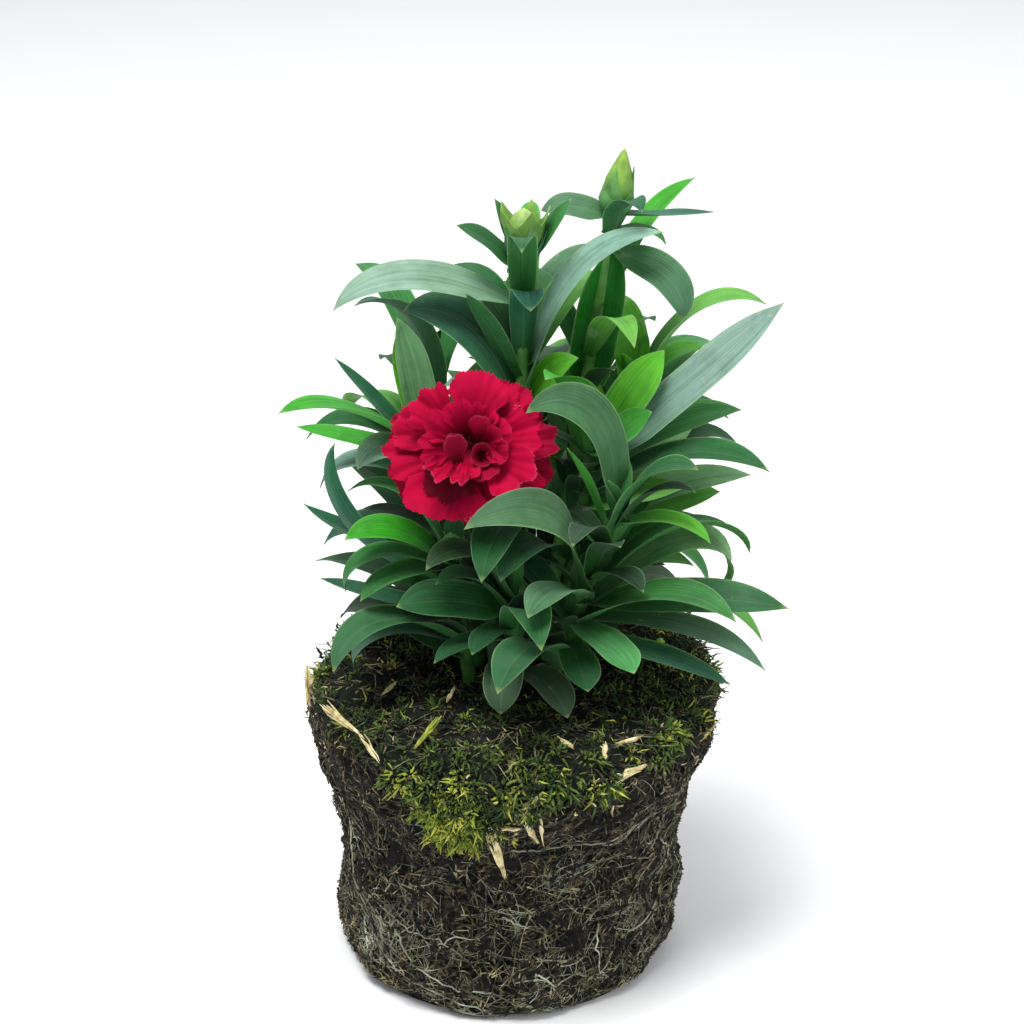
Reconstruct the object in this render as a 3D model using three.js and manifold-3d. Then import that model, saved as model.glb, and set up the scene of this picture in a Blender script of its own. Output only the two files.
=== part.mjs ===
// Double-flowered dianthus with its bare root ball, knocked out of a bedding pot.
// Millimetres, +Z up. The origin is the middle of the root ball's flat underside and the
// open bloom faces -Y.
import * as THREE from 'three';
import Module from 'manifold-3d';

const wasm = await Module();
wasm.setup();

// Root ball: [height, radius] pairs up the side. It leans by TOP_DRIFT towards +X at the top.
const SOIL = 78;
const TOP_DRIFT = 3;
const BALL_SIDE = [
  [0, 41], [3, 43.2], [10, 44.6], [20, 44], [31, 43.4], [42, 44.4], [51, 46.2],
  [57, 49.8], [65, 52.4], [73, 52.4], [77, 49.6],
];
const BALL_COLUMNS = 42;
const UNDERSIDE_RADIUS = 37;
const TOP_RINGS = [44, 32, 17];
const RELIEF = 1.5;

// Roots standing out of the ball's side
const ROOT_COUNT = 9;
const ROOT_THICK = 1.5;
const ROOT_STANDS = 0.25;
const ROOT_STEPS = 4;
const ROOT_BAND = [7, 66];

// Stems stand in plain holes in the soil
const STEM_SIDES = 6;
const HOLE_DEPTH = 16;
const HOLE_CLEARANCE = 0.35;
const STEM_STEP = 15;
const STEM_TAPER = 0.18;
const HOLE_FLARE = 6;

// Blades: a shallow V with a thick midrib
const BLADE_THICK = 1.05;
const BLADE_CHANNEL = 0.09;
const BLADE_STEP = 10;
const BLADE_BASE = 0.42;
const BLADE_TIP = 3.2;
const BLADE_SEAT = 0.8;

// Room kept between one shoot's leaves and everything on the other shoots
const LEAF_ROOM = 2.3;
const STEM_ROOM = 3.4;
const SOIL_ROOM = 1.6;
const OWN_ROWS = 4;
const NUDGES = [0, 5, -5, 10, -10, 15, -15, 20, -20];
const WIDE_NUDGES = [...NUDGES, 30, -30, 40, -40, 55, -55];
const SHIFTS = [0, 3, -3, 6];
const BALL_CLEAR = 57;
const BELOW_RIM = 14;

// Bloom: [petals, reach, opening from the axis in degrees, spread in degrees, start angle]
const BLOOM_CENTRE = [-8.5, -24, 151];
const BLOOM_FACES = [-88, 27];
const BLOOM_LAYERS = [
  [6, 21.5, 84, 70, 8],
  [5, 17.5, 62, 76, 40],
  [4, 12.5, 40, 88, 15],
  [2, 8.5, 22, 110, 60],
];
const PETAL_THICK = 0.75;
const PETAL_COLUMNS = 7;
const PETAL_ROWS = 3;
const PETAL_TOOTH = 1.3;
const BLOOM_ROOM = 1.5;
const BLOOM_HALF_DEPTH = 8;
const BLOOM_RIM = 17.5;
const BLOOM_RIM_DEPTH = 3.5;
const BLOOM_FRONT_SHARE = 0.55;
const BLOOM_FRONT_DEPTH = 60;
const BLOOM_CORE = [[-7.7, 3], [-5, 5.4], [-1.5, 8.4], [0.8, 8], [0.4, 4.5]];
const BLOOM_CORE_PIT = -2.5;
const FLOWER_ROOT = [-2.5, -3];
const FLOWER_STEM_THICK = 3.8;
const FLOWER_STEM_BOW = [-5, 3, 34];
const CALYX_BEHIND = 8;
const CALYX_LENGTH = 15;
const CALYX_MOUTH = 5.2;
const CALYX_TEETH = 5;
const CALYX_PROFILE = [[-0.6, 1.9], [1, 3.1], [4, 3.6], [11, 4.1], [CALYX_LENGTH, CALYX_MOUTH]];

// Buds
const OPEN_BUD = { length: 15, radius: 5.4, mouth: 5.2, teeth: 5 };
const OPEN_BUD_PROFILE = [[-0.06, 1.7], [0.04, 2.8], [0.2, 4], [0.45, 4.8], [0.72, OPEN_BUD.mouth]];
const CLOSED_BUD = { length: 17, radius: 4.1 };
const CLOSED_BUD_PROFILE = [[-0.06, 1.7], [0.06, 3.2], [0.25, 4.1], [0.45, 3.9], [0.65, 3], [0.85, 1.5]];
const BUD_ROOM = 3;
const CALYX_ROOM = 8;

// Leaves of a shoot, as [height above the soil, turn, lift, curl, length, width, sweep, twist,
// place of the widest point]. Turn 0 is +X and 90 is +Y. Lift is the slope at the stem, curl what
// the slope loses towards the tip, sweep the change of turn, twist the roll about the midrib.
const SHOOTS = {
  shoot_fan: {
    root: [10, -13], top: [28, -22, 53], thick: 4.6, leaves: [
      [27, -8, 11, 20, 51, 12, 0, 22],
      [23, -14, 8, 50, 50, 10, 0, 5],
      [19, -26, -2, 12, 43, 9.5],
      [22, -44, -2, 22, 27, 10.5, 0, 0, 0.65],
      [17, -78, -3, 18, 22, 9.5, 0, 0, 0.6],
      [26, 10, 42, 215, 55, 13, 0, 10],
      [28, 24, 70, 45, 34, 11],
      [24, 270, 78, 110, 66, 11, -80, -60],
      [52, 204, 84, 130, 50, 10.5, 0, -70],
      [51, -20, 20, 70, 25, 8],
      [48, 160, 62, 10, 24, 7, 0, 40],
    ],
  },
  shoot_front: {
    root: [1.5, -11], top: [2, -16, 30], thick: 4, leaves: [
      [9, -97, 22, 110, 25, 10, 0, 0, 0.6],
      [9, -58, 12, 80, 28, 10, 0, 0, 0.6],
      [23, 200, 62, 100, 26, 10],
      [27, 186, 22, 30, 30, 13, 0, -25],
      [16, 216, 18, 50, 24, 7.5],
      [19, 240, 14, 60, 20, 7.5],
    ],
  },
  shoot_left: {
    root: [-9, -6], top: [-13, -9, 34], thick: 4.2, leaves: [
      [12, 188, 22, 130, 35, 11],
      [14, 177, 5, -12, 36, 9, 0, 50],
      [18, 165, 22, 60, 20, 6],
      [29, 203, 10, 60, 26, 10],
      [27, 193, 14, 130, 34, 9],
      [34, 186, 30, 80, 33, 10, 0, -20],
      [22, 178, 8, -100, 54, 7, 0, 70],
    ],
  },
  shoot_left_upper: {
    root: [-6.5, 3.5], top: [-19, 3, 60], thick: 4.2, leaves: [
      [52, 184, 22, 95, 34, 9, 0, -10],
      [56, 180, 10, 8, 34, 5, 0, -30],
      [54, 176, 38, 0, 34, 5, 0, 60],
      [56, 198, 58, 120, 28, 10, 0, -20],
      [56, 180, 68, 10, 42, 10, 0, -75],
      [59, 140, 74, 20, 33, 9, 0, -20],
      [36, 180, 12, -40, 40, 7, 0, 60],
    ],
  },
  bud_stem_left: {
    root: [4, 2], top: [4.5, 4, 110], thick: 4.4, leaves: [
      [72, -8, 80, 76, 63, 12, 0, 20],
      [98, 182, 26, 78, 50, 10, 0, -30],
      [70, 172, 66, 92, 44, 15, 0, -30],
      [84, -84, 85, 140, 34, 8, 0, 0, 0.75],
      [79, 190, 68, 8, 30, 5.5, 0, 40],
      [76, 182, 34, 50, 20, 7, 0, -30],
      [64, -30, 84, 60, 30, 9, 0, 60],
      [107, 178, 50, 30, 20, 7, 0, -20],
      [109, 10, 56, 0, 20, 6, 0, 20],
      [108, 150, 60, 0, 17, 6],
    ],
  },
  bud_stem_right: {
    root: [9.5, 7.5], top: [27, 10, 121], thick: 4.4, leaves: [
      [68, -4, 84, 10, 46, 12, 0, 75],
      [119, 183, 22, 50, 18, 8, 0, -30],
      [112, -60, 70, 120, 20, 8],
      [116, -8, 12, 70, 14, 6],
      [118, 6, -4, -8, 24, 5],
      [114, -28, 14, 100, 28, 9, 0, 40],
    ],
  },
  shoot_right: {
    root: [11.5, 0], top: [22, -6, 66], thick: 4.2, leaves: [
      [65, 8, 60, 10, 30, 10, 0, 70],
      [66, -20, 66, 10, 24, 8, 0, 70],
      [62, -2, 42, -4, 64, 12, 0, 35],
      [60, 4, 44, 40, 42, 11, 0, 20],
      [54, 4, 50, 50, 36, 13, 0, 60],
      [48, -6, 28, 18, 28, 9, 0, 30],
      [42, 8, 28, 32, 46, 10, 0, 20],
      [40, -10, 34, 24, 38, 12, 0, 25],
      [34, 4, 30, 30, 36, 10, 0, 20],
    ],
  },
  shoot_back_right: {
    root: [17, 5.5], top: [33, 10, 74], thick: 4.2, leaves: [
      [72, 120, 85, 140, 34, 11],
      [72, 20, 76, 110, 26, 9],
    ],
  },
  shoot_back_left: { root: [-3.5, 11], top: [-20, 22, 76], thick: 4.2, leaves: [] },
  shoot_back_mid: { root: [4, 15], top: [2, 31, 88], thick: 4.2, leaves: [] },
  shoot_back_side: { root: [12, 14.5], top: [27, 31, 62], thick: 4.2, leaves: [] },
};

// Opposite leaf pairs that fill each shoot: [lowest, highest, gap between pairs, turn of the lowest]
const PAIRS = {
  shoot_fan: [9, 46, 12, 60],
  shoot_front: [13, 24, 10, 100],
  shoot_left: [6, 33, 9, 85],
  shoot_left_upper: [12, 60, 12, 70],
  bud_stem_left: [16, 92, 12, 80],
  bud_stem_right: [18, 98, 13, 40],
  shoot_right: [12, 66, 12, 70],
  shoot_back_right: [10, 74, 12, 50],
  shoot_back_left: [8, 76, 11, 130],
  shoot_back_mid: [8, 88, 12, 20],
  shoot_back_side: [8, 62, 11, 30],
};

const UP = new THREE.Vector3(0, 0, 1);
const radians = (degrees) => (degrees * Math.PI) / 180;
const seeded = (seed) => {
  let state = seed;
  return () => {
    state = (state * 16807) % 2147483647;
    return state / 2147483647;
  };
};

// ---------- solids ----------

/** Closed solid over a list of rings. A ring of one point is a tip. */
function loft(rings) {
  const points = [];
  const faces = [];
  const starts = rings.map((ring) => {
    const start = points.length;
    points.push(...ring);
    return start;
  });
  for (let i = 0; i + 1 < rings.length; i++) {
    const [n, m] = [rings[i].length, rings[i + 1].length];
    const sides = Math.max(n, m);
    for (let j = 0; j < sides; j++) {
      const k = (j + 1) % sides;
      const [a, b] = [starts[i] + (j % n), starts[i] + (k % n)];
      const [c, d] = [starts[i + 1] + (j % m), starts[i + 1] + (k % m)];
      if (n === 1) faces.push([a, d, c]);
      else if (m === 1) faces.push([a, b, c]);
      else if (j % 2) faces.push([a, b, c], [b, d, c]);
      else faces.push([a, b, d], [a, d, c]);
    }
  }
  const last = rings.length - 1;
  for (let j = 1; j + 1 < rings[0].length; j++) faces.push([starts[0], starts[0] + j + 1, starts[0] + j]);
  for (let j = 1; j + 1 < rings[last].length; j++) {
    faces.push([starts[last], starts[last] + j, starts[last] + j + 1]);
  }
  return solid(points, faces);
}

/** Closed sheet over a grid of points, thickened along one direction. */
function sheet(grid, offset) {
  const [rows, columns] = [grid.length, grid[0].length];
  const points = [...grid.flat(), ...grid.flat().map((p) => p.clone().add(offset))];
  const low = rows * columns;
  const faces = [];
  for (let i = 0; i + 1 < rows; i++) {
    for (let j = 0; j + 1 < columns; j++) {
      const [a, b] = [i * columns + j, i * columns + j + 1];
      const [c, d] = [a + columns, b + columns];
      faces.push([a, b, d], [a, d, c], [low + a, low + d, low + b], [low + a, low + c, low + d]);
    }
  }
  const rim = [];
  for (let j = 0; j < columns; j++) rim.push(j);
  for (let i = 1; i < rows; i++) rim.push(i * columns + columns - 1);
  for (let j = columns - 2; j >= 0; j--) rim.push((rows - 1) * columns + j);
  for (let i = rows - 2; i > 0; i--) rim.push(i * columns);
  rim.forEach((a, n) => {
    const b = rim[(n + 1) % rim.length];
    faces.push([b, a, low + a], [b, low + a, low + b]);
  });
  return solid(points, faces);
}

function solid(points, faces) {
  const volume = faces.reduce((sum, [a, b, c]) => sum + points[a].dot(points[b].clone().cross(points[c])), 0);
  const outward = volume < 0 ? faces.map(([a, b, c]) => [a, c, b]) : faces;
  const vertProperties = new Float32Array(points.flatMap((p) => p.toArray()));
  return new wasm.Manifold(new wasm.Mesh({
    numProp: 3, vertProperties, triVerts: new Uint32Array(outward.flat()),
  }));
}

function joined(pieces) {
  return pieces.reduce((whole, piece) => whole.add(piece));
}

/** Largest connected body: a loose scrap is dropped. */
function largest(body) {
  return body.decompose().reduce((best, piece) => (piece.volume() > best.volume() ? piece : best));
}

function asMesh(name, body, colour, roughness) {
  const { vertProperties, triVerts, numProp } = largest(body).getMesh();
  const positions = [];
  for (let i = 0; i < vertProperties.length; i += numProp) {
    positions.push(vertProperties[i], vertProperties[i + 1], vertProperties[i + 2]);
  }
  const geometry = new THREE.BufferGeometry();
  geometry.setAttribute('position', new THREE.Float32BufferAttribute(positions, 3));
  geometry.setIndex([...triVerts]);
  const material = new THREE.MeshStandardMaterial({ color: colour, roughness, metalness: 0 });
  const mesh = new THREE.Mesh(geometry, material);
  mesh.name = name;
  return mesh;
}

/** Ring of points about a centre, square to a direction. */
function ringAbout(centre, along, radius, sides, start = 0) {
  const reference = Math.abs(along.x) < 0.9 ? new THREE.Vector3(1, 0, 0) : new THREE.Vector3(0, 1, 0);
  const u = reference.cross(along).normalize();
  const v = along.clone().cross(u).normalize();
  return Array.from({ length: sides }, (_, i) => {
    const angle = start + (2 * Math.PI * i) / sides;
    const reach = typeof radius === 'function' ? radius(i) : radius;
    return centre.clone()
      .addScaledVector(u, reach * Math.cos(angle))
      .addScaledVector(v, reach * Math.sin(angle));
  });
}

// ---------- stems ----------

function headingAt(curve, k) {
  return curve.getPoint(Math.min(1, k + 0.02)).sub(curve.getPoint(Math.max(0, k - 0.02))).normalize();
}

/** Stem line of each shoot, from its root in the soil to its top. */
const stemCurves = {};
for (const [name, { root, top }] of Object.entries(SHOOTS)) {
  const from = new THREE.Vector3(...root, SOIL);
  stemCurves[name] = new THREE.LineCurve3(from, new THREE.Vector3(top[0], top[1], SOIL + top[2]));
}
const stemPoint = (name, height) => stemCurves[name].getPoint(height / SHOOTS[name].top[2]);

function stemSolid(name) {
  const { top, thick } = SHOOTS[name];
  const steps = Math.max(2, Math.round(top[2] / STEM_STEP));
  return curvedStem(stemCurves[name], thick / 2, steps);
}

/** Six-sided stem along a curve, with a straight foot that stands in its hole. */
function curvedStem(curve, radius, steps) {
  const collar = curve.getPoint(0);
  const foot = collar.clone().addScaledVector(UP, HOLE_CLEARANCE - HOLE_DEPTH);
  const rings = [foot, collar].map((centre) => ringAbout(centre, UP, radius, STEM_SIDES));
  for (let i = 1; i <= steps; i++) {
    const k = i / steps;
    rings.push(ringAbout(curve.getPoint(k), headingAt(curve, k), radius * (1 - STEM_TAPER * k), STEM_SIDES));
  }
  return loft(rings);
}

/** Hole for a stem's foot: it widens at the soil, where the stem leans out of it. */
function footHole(x, y, stemRadius) {
  const radius = (stemRadius + HOLE_CLEARANCE) * 1.06;
  const section = [[-HOLE_DEPTH, radius], [-1, radius], [9, radius + HOLE_FLARE]];
  return loft(section.map(([height, r]) => ringAbout(new THREE.Vector3(x, y, SOIL + height), UP, r, 8)));
}

// ---------- leaves ----------

/** Half width of a blade, as a share of its full half width. */
function bladeOutline(s, peak) {
  if (s < peak) return BLADE_BASE + (1 - BLADE_BASE) * Math.sin((s / peak) * (Math.PI / 2));
  return 1 - ((s - peak) / (1 - peak)) ** BLADE_TIP;
}

/** Rows along a blade: its midline point, the direction across it and its half width. */
function bladeRows(name, leaf, steps) {
  const [at, turn, lift, curl, long, wide, sweep = 0, twist = 0, peak = 0.5] = leaf;
  const heading = (s) => {
    const pitch = radians(lift - curl * s ** (1.3 + Math.abs(curl) / 120));
    const facing = radians(turn + sweep * s);
    const along = new THREE.Vector3(
      Math.cos(pitch) * Math.cos(facing), Math.cos(pitch) * Math.sin(facing), Math.sin(pitch),
    );
    return { along, side: new THREE.Vector3(-Math.sin(facing), Math.cos(facing), 0) };
  };
  const point = stemPoint(name, at);
  point.x += BLADE_SEAT * Math.cos(radians(turn));
  point.y += BLADE_SEAT * Math.sin(radians(turn));
  const rows = [];
  for (let i = 0; i <= steps; i++) {
    const s = i / steps;
    const { along, side } = heading(s);
    const up = along.clone().cross(side);
    const roll = radians(twist * Math.min(1, s * 4));
    const across = side.clone().multiplyScalar(Math.cos(roll)).addScaledVector(up, Math.sin(roll));
    const half = (wide / 2) * bladeOutline(s, peak);
    rows.push({ point: point.clone(), across, up: along.clone().cross(across), half });
    point.addScaledVector(heading((i + 0.5) / steps).along, long / steps);
  }
  return rows;
}

function bladeSolid(name, leaf) {
  const steps = Math.max(4, Math.round(leaf[4] / BLADE_STEP));
  const rows = bladeRows(name, leaf, steps);
  const rings = rows.slice(0, -1).map(({ point, across, up, half }) => {
    const lift = half * 2 * BLADE_CHANNEL;
    const left = point.clone().addScaledVector(across, half).addScaledVector(up, lift);
    const right = point.clone().addScaledVector(across, -half).addScaledVector(up, lift);
    const over = point.clone().addScaledVector(up, BLADE_THICK / 2);
    const under = point.clone().addScaledVector(up, -BLADE_THICK / 2);
    return [left, over, right, under];
  });
  rings.push([rows[steps].point]);
  return loft(rings);
}

// ---------- settling: every leaf is turned a little until it crosses nothing ----------

const bloomCentre = new THREE.Vector3(...BLOOM_CENTRE);
const bloomAxis = new THREE.Vector3(
  Math.cos(radians(BLOOM_FACES[1])) * Math.cos(radians(BLOOM_FACES[0])),
  Math.cos(radians(BLOOM_FACES[1])) * Math.sin(radians(BLOOM_FACES[0])),
  Math.sin(radians(BLOOM_FACES[1])),
);
const settled = [];

function samples(name, leaf) {
  const rows = bladeRows(name, leaf, 20).slice(1);
  return rows.flatMap(({ point, across, half }) => [-1, -0.5, 0, 0.5, 1].map(
    (share) => point.clone().addScaledVector(across, half * share),
  ));
}

function insideBloom(point) {
  const from = point.clone().sub(bloomCentre);
  const forward = from.dot(bloomAxis);
  const out = Math.sqrt(Math.max(0, from.lengthSq() - forward * forward));
  const reach = BLOOM_LAYERS[0][1] + BLOOM_ROOM;
  const front = out > BLOOM_RIM ? BLOOM_RIM_DEPTH : BLOOM_HALF_DEPTH;
  if (forward > front) return out < reach * BLOOM_FRONT_SHARE && forward < BLOOM_FRONT_DEPTH;
  return out < reach + 2 * Math.min(0, forward + BLOOM_HALF_DEPTH);
}

function inSoil(point) {
  const out = Math.hypot(point.x - TOP_DRIFT, point.y);
  return point.z < (out < BALL_CLEAR ? SOIL + RELIEF + SOIL_ROOM : SOIL - BELOW_RIM);
}

function clear(name, points) {
  const box = new THREE.Box3().setFromPoints(points).expandByScalar(STEM_ROOM);
  if (points.some((point) => inSoil(point) || insideBloom(point))) return false;
  const outer = points.slice(5 * OWN_ROWS);
  return !settled.some((other) => {
    if (!other.box.intersectsBox(box)) return false;
    const mine = other.name === name ? outer : points;
    const theirs = other.name === name ? other.outer : other.points;
    return theirs.some((taken) => mine.some((point) => point.distanceToSquared(taken) < other.room));
  });
}

function remember(name, points, room, ownRows = Infinity) {
  const outer = points.slice(5 * ownRows);
  settled.push({ name, points, outer, room: room * room, box: new THREE.Box3().setFromPoints(points) });
}

/** Changes of height, turn and lift to try on a leaf, the smallest first. */
function nudges(turns) {
  const change = ([shift, turn, lift]) => 2 * Math.abs(shift) + Math.abs(turn) + Math.abs(lift);
  const all = SHIFTS.flatMap((shift) => turns.flatMap((turn) => NUDGES.map((lift) => [shift, turn, lift])));
  return all.sort((a, b) => change(a) - change(b));
}

/** The leaf with the first of the changes that leaves it clear, or null. */
function settle(name, leaf, tries) {
  const { top } = SHOOTS[name];
  for (const [shift, turn, lift] of tries) {
    const at = Math.min(leaf[0] + shift, top[2] - 0.5);
    const posed = [at, leaf[1] + turn, leaf[2] + lift, ...leaf.slice(3)];
    const points = samples(name, posed);
    if (clear(name, points)) {
      remember(name, points, LEAF_ROOM, OWN_ROWS);
      return posed;
    }
  }
  return null;
}

/** Leaf pairs that fill a shoot, each pair a quarter turn from the one below. */
function fillLeaves(name, index) {
  const [lowest, highest, gap, start] = PAIRS[name];
  const random = seeded(90210 + 77 * index);
  const leaves = [];
  for (let at = lowest, level = 0; at <= highest; at += gap, level++) {
    const high = at / highest;
    for (const side of [0, 180]) {
      const turn = start + 90 * level + side + 24 * (random() - 0.5);
      const lift = 24 + 46 * high + 14 * (random() - 0.5);
      const curl = 40 + 85 * random();
      const long = 36 + 20 * random() * (1 - 0.3 * high);
      const wide = 9.5 + 4 * random();
      leaves.push([at, turn, lift, curl, long, wide, 0, 30 * (random() - 0.5)]);
    }
  }
  return leaves;
}

// ---------- bloom, flower stem and buds ----------

const calyxBase = bloomCentre.clone().addScaledVector(bloomAxis, -CALYX_LENGTH - CALYX_BEHIND);
const flowerCurve = new THREE.CubicBezierCurve3(
  new THREE.Vector3(...FLOWER_ROOT, SOIL),
  new THREE.Vector3(FLOWER_STEM_BOW[0], FLOWER_STEM_BOW[1], SOIL + FLOWER_STEM_BOW[2]),
  calyxBase.clone().addScaledVector(bloomAxis, -15),
  calyxBase,
);

function flowerStem() {
  const sides = CALYX_TEETH * 2;
  const shell = CALYX_PROFILE.map(([along, radius]) => ringAbout(
    calyxBase.clone().addScaledVector(bloomAxis, along), bloomAxis, radius, sides,
  ));
  const teeth = ringAbout(calyxBase.clone().addScaledVector(bloomAxis, CALYX_LENGTH + 1), bloomAxis,
    (i) => CALYX_MOUTH + (i % 2 ? -0.2 : 0.5), sides);
  shell.push(teeth.map((point, i) => point.addScaledVector(bloomAxis, i % 2 ? -1 : 2.2)));
  const inner = [[CALYX_LENGTH, CALYX_MOUTH - 1.3], [CALYX_LENGTH - 5, CALYX_MOUTH - 1.8]];
  inner.forEach(([along, radius]) => shell.push(ringAbout(
    calyxBase.clone().addScaledVector(bloomAxis, along), bloomAxis, radius, sides,
  )));
  return joined([curvedStem(flowerCurve, FLOWER_STEM_THICK / 2, 8), loft(shell)]);
}

/** One petal: a fan with a toothed, waved edge, opening away from the bloom's axis. */
function petal(reach, opening, spread, around, lag, random) {
  const tilt = radians(opening);
  const middle = radians(around);
  const u = new THREE.Vector3(1, 0, 0).cross(bloomAxis).normalize();
  const v = bloomAxis.clone().cross(u).normalize();
  const base = bloomCentre.clone().addScaledVector(bloomAxis, -7);
  const radial = (angle) => u.clone().multiplyScalar(Math.cos(angle)).addScaledVector(v, Math.sin(angle));
  const phase = 6 * random();
  const grid = [];
  for (let i = 0; i <= PETAL_ROWS; i++) {
    const s = 0.16 + 0.84 * (i / PETAL_ROWS);
    const row = [];
    for (let j = 0; j <= PETAL_COLUMNS; j++) {
      const t = (2 * j) / PETAL_COLUMNS - 1;
      const tooth = i === PETAL_ROWS ? PETAL_TOOTH * (j % 2 ? 0.5 : -0.5) : 0;
      const far = (reach * s * (1 - 0.1 * t * t) + tooth * s);
      const angle = middle + radians(spread / 2) * t;
      const out = far * Math.sin(tilt);
      const wave = 0.9 * s * s * Math.sin(4.2 * t + phase) + lag * s;
      const rise = far * Math.cos(tilt) + 5.5 * Math.sin(s * 1.9) + wave;
      row.push(base.clone().addScaledVector(radial(angle), out).addScaledVector(bloomAxis, rise));
    }
    grid.push(row);
  }
  const normal = bloomAxis.clone().multiplyScalar(-Math.sin(tilt));
  normal.addScaledVector(radial(middle), Math.cos(tilt));
  return sheet(grid, normal.multiplyScalar(PETAL_THICK));
}

function bloomSolid() {
  const random = seeded(4711);
  const core = BLOOM_CORE.map(([along, radius]) => ringAbout(
    bloomCentre.clone().addScaledVector(bloomAxis, along), bloomAxis, radius, 12,
  ));
  core.push([bloomCentre.clone().addScaledVector(bloomAxis, BLOOM_CORE_PIT)]);
  const petals = BLOOM_LAYERS.flatMap(([count, reach, opening, spread, start]) => Array.from(
    { length: count },
    (_, i) => petal(reach * (0.93 + 0.12 * random()), opening + 8 * (random() - 0.5), spread,
      start + (360 * i) / count + 10 * (random() - 0.5), 0.9 * (i % 2), random),
  ));
  return joined([loft(core), ...petals]);
}

function openBud(name) {
  const along = headingAt(stemCurves[name], 1);
  const { length, mouth, teeth } = OPEN_BUD;
  const sides = teeth * 2;
  const at = (share) => stemCurves[name].v2.clone().addScaledVector(along, length * share);
  const rings = OPEN_BUD_PROFILE.map(([share, r]) => ringAbout(at(share), along, r, sides));
  const crown = ringAbout(at(0.74), along, (i) => mouth + (i % 2 ? -0.4 : 1.9), sides);
  rings.push(crown.map((point, i) => point.addScaledVector(along, i % 2 ? 0 : 0.27 * length)));
  rings.push(ringAbout(at(0.62), along, mouth - 1.9, sides));
  rings.push([at(0.86)]);
  return loft(rings);
}

function closedBud(name) {
  const along = headingAt(stemCurves[name], 1);
  const { length } = CLOSED_BUD;
  const at = (share) => stemCurves[name].v2.clone().addScaledVector(along, length * share);
  const rings = CLOSED_BUD_PROFILE.map(([share, r]) => ringAbout(at(share), along, r, 8));
  rings.push([at(1)]);
  return loft(rings);
}

// ---------- root ball ----------

function ballRadius(z) {
  const above = BALL_SIDE.findIndex(([height]) => height >= z);
  if (above <= 0) return above === 0 ? BALL_SIDE[0][1] : BALL_SIDE[BALL_SIDE.length - 1][1];
  const [[z0, r0], [z1, r1]] = [BALL_SIDE[above - 1], BALL_SIDE[above]];
  return r0 + ((r1 - r0) * (z - z0)) / (z1 - z0);
}

function sideRelief(angle, z) {
  return RELIEF * (0.5 * Math.sin(3 * angle + 0.09 * z) + 0.35 * Math.sin(7 * angle - 0.21 * z + 1)
    + 0.4 * Math.sin(11 * angle + 0.33 * z + 2));
}

function topRelief(x, y) {
  return RELIEF * (0.5 * Math.sin(0.21 * x + 1) * Math.cos(0.17 * y) + 0.4 * Math.sin(0.45 * y + 0.31 * x));
}

function ballRing(radiusAt, heightAt, drift) {
  return Array.from({ length: BALL_COLUMNS }, (_, i) => {
    const angle = (2 * Math.PI * i) / BALL_COLUMNS;
    const radius = radiusAt(angle);
    const [x, y] = [drift + radius * Math.cos(angle), radius * Math.sin(angle)];
    return new THREE.Vector3(x, y, heightAt(x, y));
  });
}

/** A root on the ball's side: it wanders along it, half sunk in. */
function strand(index, random) {
  const steps = ROOT_STEPS;
  const [low, high] = ROOT_BAND;
  let angle = (2 * Math.PI * (index + random())) / ROOT_COUNT;
  let z = low + (high - low) * random() ** 1.3;
  const slope = random() < 0.55 ? 0.25 : 1.1;
  const way = random() < 0.5 ? -1 : 1;
  const rings = [];
  for (let i = 0; i <= steps; i++) {
    const radius = ballRadius(z) + sideRelief(angle, z) + ROOT_STANDS;
    const drift = (TOP_DRIFT * z) / SOIL;
    const out = new THREE.Vector3(Math.cos(angle), Math.sin(angle), 0);
    const centre = out.clone().multiplyScalar(radius).add(new THREE.Vector3(drift, 0, z));
    const thick = ROOT_THICK * (1 - 0.5 * (i / steps));
    const side = new THREE.Vector3(-out.y, out.x, 0);
    const over = UP.clone().addScaledVector(side, -way * slope).normalize();
    rings.push([
      centre.clone().addScaledVector(out, thick * 0.45),
      centre.clone().addScaledVector(over, thick * 0.5).addScaledVector(out, -thick * 0.9),
      centre.clone().addScaledVector(over, -thick * 0.5).addScaledVector(out, -thick * 0.9),
    ]);
    angle += (way * 5.5) / radius / (0.6 + slope * 0.6) + 0.05 * (random() - 0.5);
    z = Math.min(high, Math.max(low, z + 5.2 * slope * (random() - 0.35)));
  }
  return loft(rings);
}

function rootBall() {
  const flat = () => 0;
  const rings = [
    [new THREE.Vector3(0, 0, 0)],
    ballRing(() => UNDERSIDE_RADIUS * 0.5, flat, 0),
    ballRing(() => UNDERSIDE_RADIUS, flat, 0),
  ];
  for (const [z, radius] of BALL_SIDE) {
    const drift = (TOP_DRIFT * z) / SOIL;
    const relief = z === 0 ? 0.4 : 1;
    rings.push(ballRing((angle) => radius + relief * sideRelief(angle, z), () => z, drift));
  }
  for (const radius of TOP_RINGS) {
    const uneven = (angle) => radius + 0.5 * sideRelief(angle, SOIL);
    rings.push(ballRing(uneven, (x, y) => SOIL + topRelief(x, y), TOP_DRIFT));
  }
  rings.push([new THREE.Vector3(TOP_DRIFT, 0, SOIL + topRelief(TOP_DRIFT, 0))]);
  const random = seeded(1234);
  const strands = Array.from({ length: ROOT_COUNT }, (_, i) => strand(i, random));
  let ball = joined([loft(rings), ...strands]);
  for (const { root, thick } of Object.values(SHOOTS)) ball = ball.subtract(footHole(...root, thick / 2));
  return ball.subtract(footHole(...FLOWER_ROOT, FLOWER_STEM_THICK / 2));
}

// ---------- assembly ----------

const plant = new THREE.Group();
plant.name = 'dianthus_plant';

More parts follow.
